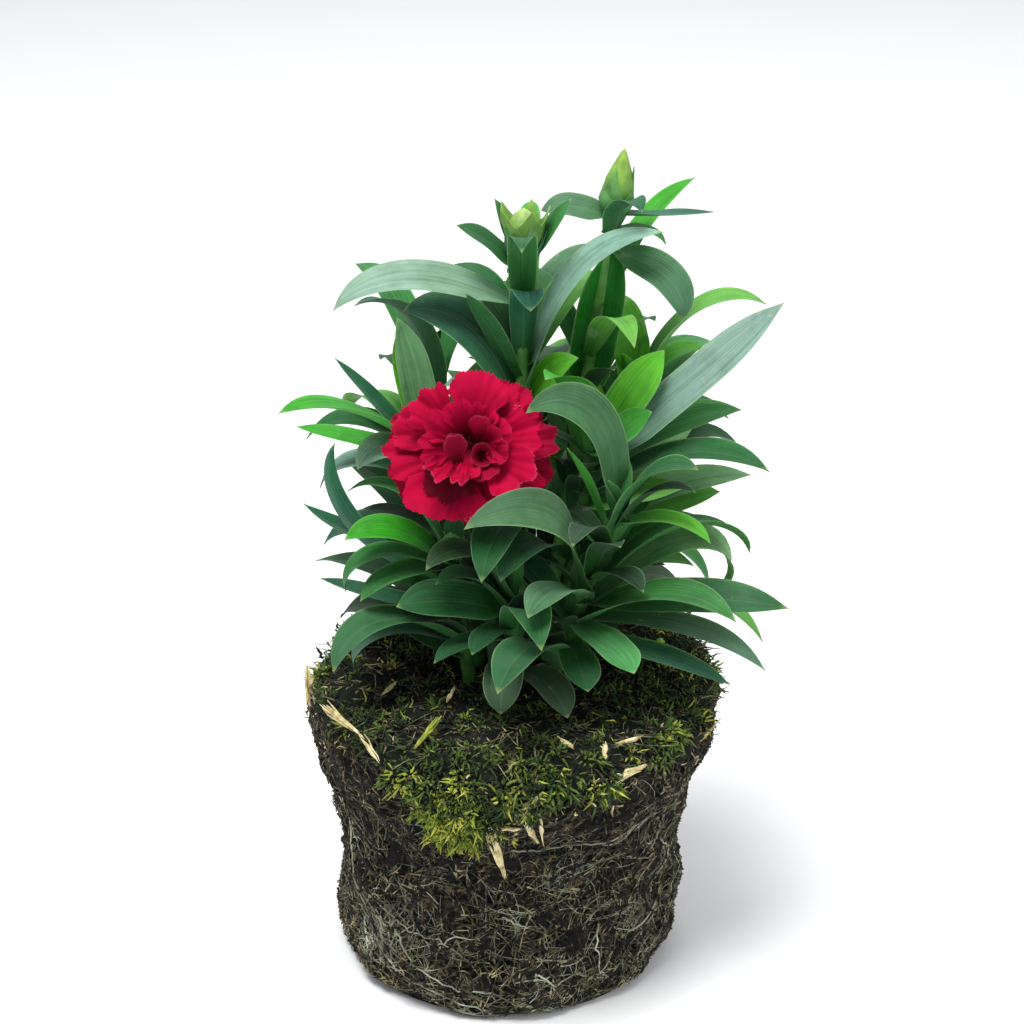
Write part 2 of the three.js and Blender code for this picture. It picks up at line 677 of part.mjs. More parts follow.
for (const name of Object.keys(SHOOTS)) {
  const line = [];
  for (let height = 0; height <= SHOOTS[name].top[2]; height += 2) line.push(stemPoint(name, height));
  remember(name, line, STEM_ROOM);
}
const budPoints = { bud_stem_left: OPEN_BUD, bud_stem_right: CLOSED_BUD };
for (const [name, { length, radius }] of Object.entries(budPoints)) {
  const along = headingAt(stemCurves[name], 1);
  const shares = [0.1, 0.3, 0.5, 0.7, 0.9];
  const line = shares.map((share) => stemCurves[name].v2.clone().addScaledVector(along, length * share));
  remember(name, line, radius + BUD_ROOM);
}
remember('flower_stem', flowerCurve.getPoints(40), STEM_ROOM);
const calyxLine = [0, 4, 8, 12, 16].map((along) => calyxBase.clone().addScaledVector(bloomAxis, along));
remember('flower_stem', calyxLine, CALYX_ROOM);

const poses = {};
for (const [name, { leaves }] of Object.entries(SHOOTS)) {
  poses[name] = leaves.map((leaf) => settle(name, leaf, nudges(NUDGES)));
}
Object.keys(SHOOTS).forEach((name, index) => {
  poses[name].push(...fillLeaves(name, index).map((leaf) => settle(name, leaf, nudges(WIDE_NUDGES))));
});

plant.add(asMesh('root_ball', rootBall(), 0x2b2118, 0.95));
plant.add(asMesh('flower_stem', flowerStem(), 0x6f9a62, 0.55));
plant.add(asMesh('bloom', bloomSolid(), 0xb8122f, 0.6));
for (const name of Object.keys(SHOOTS)) {
  const blades = poses[name].filter(Boolean).map((leaf) => bladeSolid(name, leaf));
  const parts = [stemSolid(name), ...blades];
  if (name === 'bud_stem_left') parts.push(openBud(name));
  if (name === 'bud_stem_right') parts.push(closedBud(name));
  plant.add(asMesh(name, joined(parts), 0x4f7f4c, 0.5));
}

export default plant;
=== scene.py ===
import math

import bmesh
import bpy
import numpy as np
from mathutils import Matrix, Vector, noise


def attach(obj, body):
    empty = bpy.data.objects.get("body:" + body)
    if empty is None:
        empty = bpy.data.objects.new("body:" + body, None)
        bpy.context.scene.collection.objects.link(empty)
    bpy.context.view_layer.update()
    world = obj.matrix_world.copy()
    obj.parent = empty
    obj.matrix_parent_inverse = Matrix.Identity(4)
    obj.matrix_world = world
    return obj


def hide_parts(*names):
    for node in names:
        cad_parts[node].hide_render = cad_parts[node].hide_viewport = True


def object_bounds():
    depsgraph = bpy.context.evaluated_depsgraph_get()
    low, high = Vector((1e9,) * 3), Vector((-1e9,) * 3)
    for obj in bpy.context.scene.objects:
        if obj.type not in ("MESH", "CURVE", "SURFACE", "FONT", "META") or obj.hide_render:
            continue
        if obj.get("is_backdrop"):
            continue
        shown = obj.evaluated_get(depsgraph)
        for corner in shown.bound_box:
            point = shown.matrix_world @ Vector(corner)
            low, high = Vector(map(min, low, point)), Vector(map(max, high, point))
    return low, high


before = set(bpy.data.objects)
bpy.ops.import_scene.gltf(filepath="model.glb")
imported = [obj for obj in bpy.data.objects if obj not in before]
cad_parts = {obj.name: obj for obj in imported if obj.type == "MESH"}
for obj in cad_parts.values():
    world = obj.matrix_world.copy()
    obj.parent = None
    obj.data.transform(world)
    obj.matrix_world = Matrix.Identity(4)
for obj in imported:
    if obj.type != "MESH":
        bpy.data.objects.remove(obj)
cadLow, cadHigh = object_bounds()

mm = 0.001  # everything is modelled in millimetres and scaled once


# small helpers

def seeded(state):
    while True:
        state = (state * 16807) % 2147483647
        yield state / 2147483647


def jitter(draw):
    return Vector((next(draw) - 0.5, next(draw) - 0.5, next(draw) - 0.5))


def linear(hexColour):
    channels = [int(hexColour[i:i + 2], 16) / 255 for i in (0, 2, 4)]
    return [c / 12.92 if c <= 0.04045 else ((c + 0.055) / 1.055) ** 2.4 for c in channels] + [1.0]


def wire(tree, node, links):
    # a link comes from a socket, or from a node's first live output
    for key, source in links.items():
        if isinstance(source, bpy.types.Node):
            source = next(output for output in source.outputs if output.enabled)
        tree.links.new(source, node.inputs[key])


def addNode(tree, kind, settings=None, links=None):
    # colours among the settings and stops are hex
    node = tree.nodes.new("ShaderNode" + kind)
    for key, value in (settings or {}).items():
        if key == "stops":
            ramp = node.color_ramp
            while len(ramp.elements) < len(value):
                ramp.elements.new(0.5)
            for element, (position, colour) in zip(ramp.elements, value):
                element.position = position
                element.color = linear(colour)
        elif isinstance(key, str) and hasattr(node, key):
            setattr(node, key, value)
        else:
            node.inputs[key].default_value = linear(value) if isinstance(value, str) else value
    wire(tree, node, links or {})
    return node


def newMaterial(name, settings):
    material = bpy.data.materials.new(name)
    material.use_nodes = True
    tree = material.node_tree
    tree.nodes.clear()
    shader = addNode(tree, "BsdfPrincipled", settings)
    addNode(tree, "OutputMaterial", links={"Surface": shader})
    return material, tree, shader, addNode(tree, "TexCoord").outputs


def mapGrid(bm, across, along, place, slot=0):
    # a flat grid whose vertex in that row and column goes where place(row, column) says
    verts = bmesh.ops.create_grid(bm, x_segments=across, y_segments=along, size=0.5)["verts"]
    uv = bm.loops.layers.uv.verify()
    spots = {v: (round((v.co.y + 0.5) * along), round((v.co.x + 0.5) * across)) for v in verts}
    for face in {f for v in verts for f in v.link_faces}:
        face.material_index = slot
        for loop in face.loops:
            row, column = spots[loop.vert]
            loop[uv].uv = (column / across, row / along)
    for vert, (row, column) in spots.items():
        vert.co = place(row, column)
    return verts


def weld(bm, verts):
    bmesh.ops.remove_doubles(bm, verts=verts, dist=0.0002)


def addPiece(name, mesh, node=None):
    piece = bpy.data.objects.new(name, mesh)
    bpy.context.scene.collection.objects.link(piece)
    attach(piece, "root")
    if node:
        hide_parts(node)


def finishPiece(name, bm, materials, node=None, crease=50):
    bmesh.ops.recalc_face_normals(bm, faces=bm.faces)
    for face in bm.faces:
        face.smooth = True
    for edge in bm.edges:
        edge.smooth = edge.calc_face_angle(0) < math.radians(crease)
    bmesh.ops.scale(bm, vec=(mm, mm, mm), verts=bm.verts)
    mesh = bpy.data.meshes.new(name)
    bm.to_mesh(mesh)
    bm.free()
    for material in materials:
        mesh.materials.append(material)
    addPiece(name, mesh, node)


def strandPiece(name, strands, materials):
    # thin tapered strands, each (points, radii, material number), as one curve's bevelled splines
    curve = bpy.data.curves.new(name, "CURVE")
    curve.dimensions = "3D"
    curve.bevel_depth = mm
    curve.bevel_resolution = 0
    curve.use_fill_caps = True
    for material in materials:
        curve.materials.append(material)
    for points, radii, number in strands:
        spline = curve.splines.new("POLY")
        spline.points.add(len(points) - 1)
        spline.points.foreach_set("co", [c for p in points for c in (p[0] * mm, p[1] * mm, p[2] * mm, 1)])
        spline.points.foreach_set("radius", radii)
        spline.material_index = number
    source = bpy.data.objects.new(name, curve)
    bpy.context.scene.collection.objects.link(source)
    mesh = bpy.data.meshes.new_from_object(source.evaluated_get(bpy.context.evaluated_depsgraph_get()))
    bpy.data.objects.remove(source)
    mesh.name = name
    addPiece(name, mesh)


# camera, light and floor

studio = {
    "eye": (1.8, -644.4, 396.5),
    "aim": (1.8, 0, 123),
    "lens": 97.1,
    "floorColour": "fcfcfb",
    "skyStrength": 0.6,
    # soft round lights: place and width in metres, power in watts
    "keyLight": ((-0.2, -0.32, 1.3), 0.6, 17),
    "fillLight": ((0.9, -0.5, 0.6), 0.8, 2.5),
    "backLight": ((0.1, 0.9, 0.9), 0.8, 2.5),
    "lightAim": (0, 0, 0.12),
}


def facing(place, aim):
    return (Vector(aim) - Vector(place)).to_track_quat("-Z", "Y").to_euler()


camera = bpy.data.objects.new("camera", bpy.data.cameras.new("camera"))
camera.data.lens = studio["lens"]
camera.data.sensor_width = 36
camera.location = Vector(studio["eye"]) * mm
camera.rotation_euler = facing(studio["eye"], studio["aim"])
bpy.context.scene.collection.objects.link(camera)
bpy.context.scene.camera = camera
bpy.context.scene.view_settings.view_transform = "Standard"

for name in ("keyLight", "fillLight", "backLight"):
    place, size, power = studio[name]
    light = bpy.data.objects.new(name, bpy.data.lights.new(name, "AREA"))
    light.data.shape = "DISK"
    light.data.size = size
    light.data.energy = power
    light.location = place
    light.rotation_euler = facing(place, studio["lightAim"])
    bpy.context.scene.collection.objects.link(light)

world = bpy.data.worlds.new("softRoom")
bpy.context.scene.world = world
world.use_nodes = True
world.node_tree.nodes["Background"].inputs["Color"].default_value = linear("f6f9ff")
world.node_tree.nodes["Background"].inputs["Strength"].default_value = studio["skyStrength"]

# matt paper sweep: almost white, with a faint mottle
paper, tree, shader, place = newMaterial("mattPaper", {"Roughness": 0.9})
grain = addNode(tree, "TexNoise", {"Scale": 6, "Detail": 3})
tint = addNode(tree, "ValToRGB", {"stops": [(0.3, "f6f6f5"), (0.7, studio["floorColour"])]}, {"Fac": grain})
wire(tree, shader, {"Base Color": tint})

bm = bmesh.new()
bmesh.ops.create_grid(bm, x_segments=1, y_segments=1, size=4)
floorMesh = bpy.data.meshes.new("floor")
bm.to_mesh(floorMesh)
bm.free()
floorMesh.materials.append(paper)
floor = bpy.data.objects.new("floor", floorMesh)
bpy.context.scene.collection.objects.link(floor)
floor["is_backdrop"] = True
print("camera, light and floor")


# leaf and stem finishes

multiply = {"data_type": "RGBA", "blend_type": "MULTIPLY", 0: 1.0}
fullTurn = 6.283

# Live dianthus blade: a waxy cuticle with a grey bloom on it, so it is matt with a soft broad sheen.
# The colour of each blade comes from its own attribute. Towards the base the blade is greener and darker:
# partly its own colour where the bloom thins, partly painted shade and painted light shining through the
# blade low in the plant.
leafFinish = {
    "veinsAcross": 13, "roughness": 0.5, "base": "22661c", "wax": "a3bdae", "rib": "7fa66c",
    "margin": "94b08c", "tip": "a9b872", "fleck": "cfd6b4", "scuff": "aab598",
}
leafSkin, tree, shader, place = newMaterial("waxyLeaf", {
    "Roughness": leafFinish["roughness"], "IOR": 1.4, "Specular IOR Level": 0.3,
    "Subsurface Weight": 0.12, "Subsurface Radius": (0.6, 1.0, 0.25), "Subsurface Scale": 0.0012,
    "Sheen Weight": 0.03, "Sheen Roughness": 0.5,
})
tone = addNode(tree, "Attribute", {"attribute_name": "pieceTone"})
flat = addNode(tree, "SeparateXYZ", links={0: place["UV"]}).outputs
mottle = addNode(tree, "TexNoise", {"Scale": 130, "Detail": 5, "Roughness": 0.6}, {"Vector": place["Object"]})
shade = addNode(tree, "ValToRGB", {"stops": [(0.28, "d3d8ce"), (0.55, "ffffff"), (0.8, "fffff4")]},
                {"Fac": mottle})
mottled = addNode(tree, "Mix", multiply, {6: tone, 7: shade})
# streaks that run the length of the blade, about a millimetre wide and different on each blade
own = addNode(tree, "VectorMath", {"operation": "SCALE", "Scale": 90}, {0: tone.outputs["Vector"]})
stretched = addNode(tree, "Mapping", {"Scale": (13, 1.4, 1)}, {"Vector": place["UV"], "Location": own})
streak = addNode(tree, "TexNoise", {"Scale": 1, "Detail": 4, "Roughness": 0.6}, {"Vector": stretched})
streakTint = addNode(tree, "ValToRGB", {"stops": [(0.34, "cfd6cc"), (0.52, "f4f6f2"), (0.68, "ffffff")]},
                     {"Fac": streak})
tint = addNode(tree, "Mix", multiply, {6: mottled, 7: streakTint})
waxy = addNode(tree, "TexNoise", {"Scale": 40, "Detail": 6, "Roughness": 0.65}, {"Vector": place["Object"]})
# distance from the midrib, 0 on it and 0.5 on the margin
fromRib = addNode(tree, "Math", {"operation": "SUBTRACT", 1: 0.5}, {0: flat["X"]})
ribSide = addNode(tree, "Math", {"operation": "ABSOLUTE"}, {0: fromRib})
# dried water scale, a few pale specks about half a millimetre wide, and scuffed wax, dull pale patches a
# few millimetres long
fleck = addNode(tree, "TexVoronoi", {"Scale": 380}, {"Vector": place["Object"]})
fleckPatch = addNode(tree, "TexNoise", {"Scale": 30, "Detail": 2}, {"Vector": place["Object"]})
scuff = addNode(tree, "TexNoise", {"Scale": 75, "Detail": 9, "Roughness": 0.72}, {"Vector": place["Object"]})
# a value, the range of it that counts and what that range is turned into
# the base share paints the lower blade greener and darker, partly its own colour and partly painted shade and
# light through the blade
ranges = {
    "base": (flat["Y"], 0.05, 0.6, 0.7, 0), "wax": (waxy, 0.42, 0.75, 0, 0.12),
    "rib": (ribSide, 0, 0.035, 0.14, 0), "margin": (ribSide, 0.462, 0.5, 0, 0.42),
    "tip": (flat["Y"], 0.955, 1, 0, 0.5), "scuff": (scuff, 0.63, 0.7, 0, 0.5),
    "fleckNear": (fleck, 0.08, 0.2, 1, 0), "fleckWhere": (fleckPatch, 0.68, 0.74, 0, 0.4),
    "groove": (ribSide, 0, 0.05, -5, 0), "rough": (waxy, 0.3, 0.75, 0.54, 0.7),
}
shares = {}
for name, (value, low, high, start, end) in ranges.items():
    span = {"From Min": low, "From Max": high, "To Min": start, "To Max": end}
    shares[name] = addNode(tree, "MapRange", span, {"Value": value})
shares["fleck"] = addNode(tree, "Math", {"operation": "MULTIPLY"},
                          {0: shares["fleckNear"], 1: shares["fleckWhere"]})
for name in ("base", "wax", "rib", "margin", "tip", "fleck", "scuff"):
    tint = addNode(tree, "Mix", {"data_type": "RGBA", 7: leafFinish[name]}, {0: shares[name], 6: tint})
# the veins run from base to tip about 0.8 mm apart, as faint ridges beside the midrib's groove
veinAngle = addNode(tree, "Math", {"operation": "MULTIPLY", 1: leafFinish["veinsAcross"] * fullTurn},
                    {0: flat["X"]})
veins = addNode(tree, "Math", {"operation": "SINE"}, {0: veinAngle})
relief = addNode(tree, "Math", {"operation": "ADD"}, {0: veins, 1: shares["groove"]})
bump = addNode(tree, "Bump", {"Strength": 0.3, "Distance": 0.00008}, {"Height": relief})
wire(tree, shader, {"Base Color": tint, "Normal": bump, "Roughness": shares["rough"]})

# Stem: the same cuticle drawn tight over a round stem, faintly ribbed lengthwise
stemFinish = {"ribs": 18, "roughness": 0.5}
stemSkin, tree, shader, place = newMaterial("waxyStem", {
    "Roughness": stemFinish["roughness"], "IOR": 1.42, "Subsurface Weight": 0.1,
    "Subsurface Radius": (0.6, 1.0, 0.25), "Subsurface Scale": 0.0012,
})
tone = addNode(tree, "Attribute", {"attribute_name": "pieceTone"})
flat = addNode(tree, "SeparateXYZ", links={0: place["UV"]}).outputs
mottle = addNode(tree, "TexNoise", {"Scale": 240, "Detail": 5}, {"Vector": place["Object"]})
shade = addNode(tree, "ValToRGB", {"stops": [(0.3, "b7c0b2"), (0.6, "ffffff")]}, {"Fac": mottle})
tint = addNode(tree, "Mix", multiply, {6: tone, 7: shade})
ribAngle = addNode(tree, "Math", {"operation": "MULTIPLY", 1: stemFinish["ribs"] * fullTurn}, {0: flat["X"]})
ribs = addNode(tree, "Math", {"operation": "SINE"}, {0: ribAngle})
bump = addNode(tree, "Bump", {"Strength": 0.15, "Distance": 0.00008}, {"Height": ribs})
wire(tree, shader, {"Base Color": tint, "Normal": bump})


# shoots: the same leaves, settled the same way, as the solids they dress

soil = 78
topDrift = 3
# leaf: height above the soil, turn, lift, curl, length, width, sweep, twist, place of the widest point
shoots = {
    "shoot_fan": {
        "root": (10, -13), "top": (28, -22, 53), "thick": 4.6, "pairs": (9, 46, 12, 60),
        "tones": "dark grey slate mint dark soft mint sage sage lime bright",
        "leaves": [
            (27, -8, 11, 20, 51, 12, 0, 22), (23, -14, 8, 50, 50, 10, 0, 5), (19, -26, -2, 12, 43, 9.5),
            (22, -44, -2, 22, 27, 10.5, 0, 0, 0.65), (17, -78, -3, 18, 22, 9.5, 0, 0, 0.6),
            (26, 10, 42, 215, 55, 13, 0, 10), (28, 24, 70, 45, 34, 11), (24, 270, 78, 110, 66, 11, -80, -60),
            (52, 204, 84, 130, 50, 10.5, 0, -70), (51, -20, 20, 70, 25, 8), (48, 160, 62, 10, 24, 7, 0, 40),
        ],
    },
    "shoot_front": {
        "root": (1.5, -11), "top": (2, -16, 30), "thick": 4, "pairs": (13, 24, 10, 100),
        # the front leaves hang under the canopy: their olive and dark tones paint its shade
        "tones": "olive olive dark dark dark dark",
        "leaves": [
            (9, -97, 22, 110, 25, 10, 0, 0, 0.6), (9, -58, 12, 80, 28, 10, 0, 0, 0.6),
            (23, 200, 62, 100, 26, 10), (27, 186, 22, 30, 30, 13, 0, -25), (16, 216, 18, 50, 24, 7.5),
            (19, 240, 14, 60, 20, 7.5),
        ],
    },
    "shoot_left": {
        "root": (-9, -6), "top": (-13, -9, 34), "thick": 4.2, "pairs": (6, 33, 9, 85),
        "tones": "slate teal mid mid mid bright teal",
        "leaves": [
            (12, 188, 22, 130, 35, 11), (14, 177, 5, -12, 36, 9, 0, 50), (18, 165, 22, 60, 20, 6),
            (29, 203, 10, 60, 26, 10), (27, 193, 14, 130, 34, 9), (34, 186, 30, 80, 33, 10, 0, -20),
            (22, 178, 8, -100, 54, 7, 0, 70),
        ],
    },
    "shoot_left_upper": {
        "root": (-6.5, 3.5), "top": (-19, 3, 60), "thick": 4.2, "pairs": (12, 60, 12, 70),
        "tones": "pale bright teal pale soft lime teal",
        "leaves": [
            (52, 184, 22, 95, 34, 9, 0, -10), (56, 180, 10, 8, 34, 5, 0, -30),
            (54, 176, 38, 0, 34, 5, 0, 60), (56, 198, 58, 120, 28, 10, 0, -20),
            (56, 180, 68, 10, 42, 10, 0, -75), (59, 140, 74, 20, 33, 9, 0, -20),
            (36, 180, 12, -40, 40, 7, 0, 60),
        ],
    },
    "bud_stem_left": {
        "root": (4, 2), "top": (4.5, 4, 110), "thick": 4.4, "pairs": (16, 92, 12, 80),
        "tones": "pale pale slate teal dark pale lime dark mid mid",
        "leaves": [
            (72, -8, 80, 76, 63, 12, 0, 20), (98, 182, 26, 78, 50, 10, 0, -30),
            (70, 172, 66, 92, 44, 15, 0, -30), (84, -84, 85, 140, 34, 8, 0, 0, 0.75),
            (79, 190, 68, 8, 30, 5.5, 0, 40), (76, 182, 34, 50, 20, 7, 0, -30),
            (64, -30, 84, 60, 30, 9, 0, 60), (107, 178, 50, 30, 20, 7, 0, -20),
            (109, 10, 56, 0, 20, 6, 0, 20), (108, 150, 60, 0, 17, 6),
        ],
    },
    "bud_stem_right": {
        "root": (9.5, 7.5), "top": (27, 10, 121), "thick": 4.4, "pairs": (18, 98, 13, 40),
        "tones": "deep grey slate mid teal grey",
        "leaves": [
            (68, -4, 84, 10, 46, 12, 0, 75), (119, 183, 22, 50, 18, 8, 0, -30), (112, -60, 70, 120, 20, 8),
            (116, -8, 12, 70, 14, 6), (118, 6, -4, -8, 24, 5), (114, -28, 14, 100, 28, 9, 0, 40),
        ],
    },
    "shoot_right": {
        "root": (11.5, 0), "top": (22, -6, 66), "thick": 4.2, "pairs": (12, 66, 12, 70),
        "tones": "lime bright pale mint soft fresh soft fresh mint",
        "leaves": [
            (65, 8, 60, 10, 30, 10, 0, 70), (66, -20, 66, 10, 24, 8, 0, 70), (62, -2, 42, -4, 64, 12, 0, 35),
            (60, 4, 44, 40, 42, 11, 0, 20), (54, 4, 50, 50, 36, 13, 0, 60), (48, -6, 28, 18, 28, 9, 0, 30),
            (42, 8, 28, 32, 46, 10, 0, 20), (40, -10, 34, 24, 38, 12, 0, 25), (34, 4, 30, 30, 36, 10, 0, 20),
        ],
    },
    "shoot_back_right": {
        "root": (17, 5.5), "top": (33, 10, 74), "thick": 4.2, "pairs": (10, 74, 12, 50),
        "tones": "lime lime",
        "leaves": [
            (72, 120, 85, 140, 34, 11), (72, 20, 76, 110, 26, 9),
        ],
    },
    "shoot_back_left": {
        "root": (-3.5, 11), "top": (-20, 22, 76), "thick": 4.2, "pairs": (8, 76, 11, 130),
        "tones": "", "leaves": [],
    },
    "shoot_back_mid": {
        "root": (4, 15), "top": (2, 31, 88), "thick": 4.2, "pairs": (8, 88, 12, 20),
        "tones": "", "leaves": [],
    },
    "shoot_back_side": {
        "root": (12, 14.5), "top": (27, 31, 62), "thick": 4.2, "pairs": (8, 62, 11, 30),
        "tones": "", "leaves": [],
    },
}
# A colour for each blade. 'shade' is painted shade for the axil leaves deep among the stems, and 'olive'
# paints the shade on the front and lowest leaves under the canopy. 'deep' is a vivid green painted as light
# shining through a blade, and 'bright', 'lime' and 'fresh' are partly the young leaves' own colour and partly
# that painted light.
leafTones = {
    "pale": "88aa9c", "grey": "4e7b58", "slate": "2f6349", "dark": "205e2e", "deep": "0e7412",
    "olive": "2b4a26", "mid": "377f3b", "mint": "4f9756", "teal": "246650", "bright": "38a01e",
    "lime": "62be2a", "fresh": "66ac46", "soft": "7cb27a", "sage": "47764a", "shade": "173a1c",
}
fillTones = ["dark", "mid", "slate", "dark", "grey", "mint", "dark", "mid"]
youngShoots = ["bud_stem_left", "bud_stem_right", "shoot_right", "shoot_back_right", "shoot_left_upper"]
blade = {
    "base": 0.42, "tip": 3.2, "seat": 0.8, "channel": 0.09, "thick": 0.62,
    "across": 10, "along": 26, "fullness": 0.72, "point": 1.1, "samples": 20,
}
acrossBlade = np.array([-1, -0.5, 0, 0.5, 1])  # where a blade's rows are tested for room
room = {
    "leaf": 2.3, "stem": 3.4, "soil": 1.6, "relief": 1.5, "ownRows": 4, "bud": 3, "calyx": 8,
    "ballClear": 57, "belowRim": 14,
}
turnsToTry = [0, 5, -5, 10, -10, 15, -15, 20, -20]
wideTurns = turnsToTry + [30, -30, 40, -40, 55, -55]
shiftsToTry = [0, 3, -3, 6]
stemTaper = 0.18
budPairs = {"above": 76, "narrow": 0.62}  # the upper pairs on a flowering stem stay narrow

bloom = {
    "centre": (-8.5, -24, 151), "azimuth": -88, "elevation": 27, "reach": 21.5, "room": 1.5,
    "halfDepth": 8, "rim": 17.5, "rimDepth": 3.5, "frontShare": 0.55, "frontDepth": 60,
}
flower = {
    "root": (-2.5, -3), "thick": 3.8, "bow": (-5, 3, 34), "neck": 15, "calyxLength": 15, "calyxBehind": 8,
}
openBud = {"length": 15, "radius": 5.4}
closedBud = {"length": 17, "radius": 4.1}

bloomCentre = np.array(bloom["centre"], float)
faceAzimuth, faceElevation = math.radians(bloom["azimuth"]), math.radians(bloom["elevation"])
bloomAxis = np.array([
    math.cos(faceElevation) * math.cos(faceAzimuth),
    math.cos(faceElevation) * math.sin(faceAzimuth),
    math.sin(faceElevation),
])
calyxBase = bloomCentre - bloomAxis * (flower["calyxLength"] + flower["calyxBehind"])


def stemAt(name, height):
    shoot = shoots[name]
    start = np.array([*shoot["root"], soil], float)
    end = np.array([shoot["top"][0], shoot["top"][1], soil + shoot["top"][2]], float)
    return start + (end - start) * (height / shoot["top"][2])


def stemHeading(name):
    along = stemAt(name, 1) - stemAt(name, 0)
    return along / np.linalg.norm(along)


def flowerLine(k):
    bowX, bowY, bowHeight = flower["bow"]
    ends = [np.array([*flower["root"], soil], float), np.array([bowX, bowY, soil + bowHeight], float),
            calyxBase - bloomAxis * flower["neck"], calyxBase]
    return sum(w * p for w, p in zip(((1 - k) ** 3, 3 * k * (1 - k) ** 2, 3 * k * k * (1 - k), k ** 3), ends))


def bladeRows(name, leaf, steps):
    at, turn, lift, curl, long, wide, sweep, twist, peak = (*leaf, *(0, 0, 0.5)[len(leaf) - 6:])

    def heading(s):
        pitch = np.radians(lift - curl * s ** (1.3 + abs(curl) / 120))
        facing = np.radians(turn + sweep * s)
        along = np.stack([np.cos(pitch) * np.cos(facing), np.cos(pitch) * np.sin(facing), np.sin(pitch)], 1)
        return along, np.stack([-np.sin(facing), np.cos(facing), 0 * facing], 1)

    s = np.arange(steps + 1) / steps
    along, side = heading(s)
    roll = np.radians(twist * np.minimum(1, s * 4))[:, None]
    across = side * np.cos(roll) + np.cross(along, side) * np.sin(roll)
    rise = blade["base"] + (1 - blade["base"]) * np.sin(np.minimum(1, s / peak) * (math.pi / 2))
    fall = 1 - np.maximum(0, (s - peak) / (1 - peak)) ** blade["tip"]
    half = (wide / 2) * np.where(s < peak, rise, fall)
    start = stemAt(name, at)
    start = start + blade["seat"] * np.array([math.cos(math.radians(turn)), math.sin(math.radians(turn)), 0])
    stride = heading((np.arange(steps) + 0.5) / steps)[0] * (long / steps)
    points = start + np.vstack([np.zeros(3), np.cumsum(stride, 0)])
    return points, across, np.cross(along, across), half


def leafSamples(name, leaf):
    points, across, _, half = bladeRows(name, leaf, blade["samples"])
    spread = across[1:, None] * half[1:, None, None] * acrossBlade[None, :, None]
    return (points[1:, None] + spread).reshape(-1, 3)


settled = []
settledLow = np.zeros((0, 3))
settledHigh = np.zeros((0, 3))


def remember(name, points, space, ownRows=None):
    global settledLow, settledHigh
    outer = points[len(acrossBlade) * ownRows:] if ownRows is not None else points[:0]
    settled.append((name, points, outer, space * space))
    settledLow = np.vstack([settledLow, points.min(0)])
    settledHigh = np.vstack([settledHigh, points.max(0)])


def isClear(name, points):
    out = np.hypot(points[:, 0] - topDrift, points[:, 1])
    lowest = np.where(out < room["ballClear"], soil + room["relief"] + room["soil"],
                      soil - room["belowRim"])
    if (points[:, 2] < lowest).any():
        return False
    fromBloom = points - bloomCentre
    forward = fromBloom @ bloomAxis
    out = np.sqrt(np.maximum(0, (fromBloom ** 2).sum(1) - forward ** 2))
    reach = bloom["reach"] + bloom["room"]
    ahead = forward > np.where(out > bloom["rim"], bloom["rimDepth"], bloom["halfDepth"])
    if (ahead & (out < reach * bloom["frontShare"]) & (forward < bloom["frontDepth"])).any():
        return False
    if (~ahead & (out < reach + 2 * np.minimum(0, forward + bloom["halfDepth"]))).any():
        return False
    low, high = points.min(0) - room["stem"], points.max(0) + room["stem"]
    near = ((settledHigh >= low) & (settledLow <= high)).all(1)
    for index in np.flatnonzero(near):
        other, theirs, outer, space = settled[index]
        mine = points
        if other == name:
            mine, theirs = points[len(acrossBlade) * room["ownRows"]:], outer
        if len(theirs) and (((mine[:, None] - theirs[None]) ** 2).sum(2) < space).any():
            return False
    return True


def nudges(turns):
    tries = [(shift, turn, lift) for shift in shiftsToTry for turn in turns for lift in turnsToTry]
    return sorted(tries, key=lambda change: 2 * abs(change[0]) + abs(change[1]) + abs(change[2]))


def settleLeaf(name, leaf, tries):
    highest = shoots[name]["top"][2] - 0.5
    for shift, turn, lift in tries:
        posed = (min(leaf[0] + shift, highest), leaf[1] + turn, leaf[2] + lift, *leaf[3:])
        points = leafSamples(name, posed)
        if isClear(name, points):
            remember(name, points, room["leaf"], room["ownRows"])
            return posed
    return None


def fillLeaves(name, index):
    lowest, highest, gap, start = shoots[name]["pairs"]
    draw = seeded(90210 + 77 * index)
    leaves = []
    for level, at in enumerate(range(lowest, highest + 1, gap)):
        high = at / highest
        for side in (0, 180):
            turn = start + 90 * level + side + 24 * (next(draw) - 0.5)
            lift = 24 + 46 * high + 14 * (next(draw) - 0.5)
            curl = 40 + 85 * next(draw)
            long = 36 + 20 * next(draw) * (1 - 0.3 * high)
            wide = 9.5 + 4 * next(draw)
            leaves.append((at, turn, lift, curl, long, wide, 0, 30 * (next(draw) - 0.5)))
    return leaves


for name, shoot in shoots.items():
    heights = np.arange(0, shoot["top"][2] + 0.001, 2)
    remember(name, np.array([stemAt(name, height) for height in heights]), room["stem"])
for name, bud in (("bud_stem_left", openBud), ("bud_stem_right", closedBud)):
    tip = stemAt(name, shoots[name]["top"][2])
    line = [tip + stemHeading(name) * bud["length"] * share for share in (0.1, 0.3, 0.5, 0.7, 0.9)]
    remember(name, np.array(line), bud["radius"] + room["bud"])
remember("flower_stem", np.array([flowerLine(i / 40) for i in range(41)]), room["stem"])
calyxLine = [calyxBase + bloomAxis * along for along in (0, 4, 8, 12, 16)]
remember("flower_stem", np.array(calyxLine), room["calyx"])

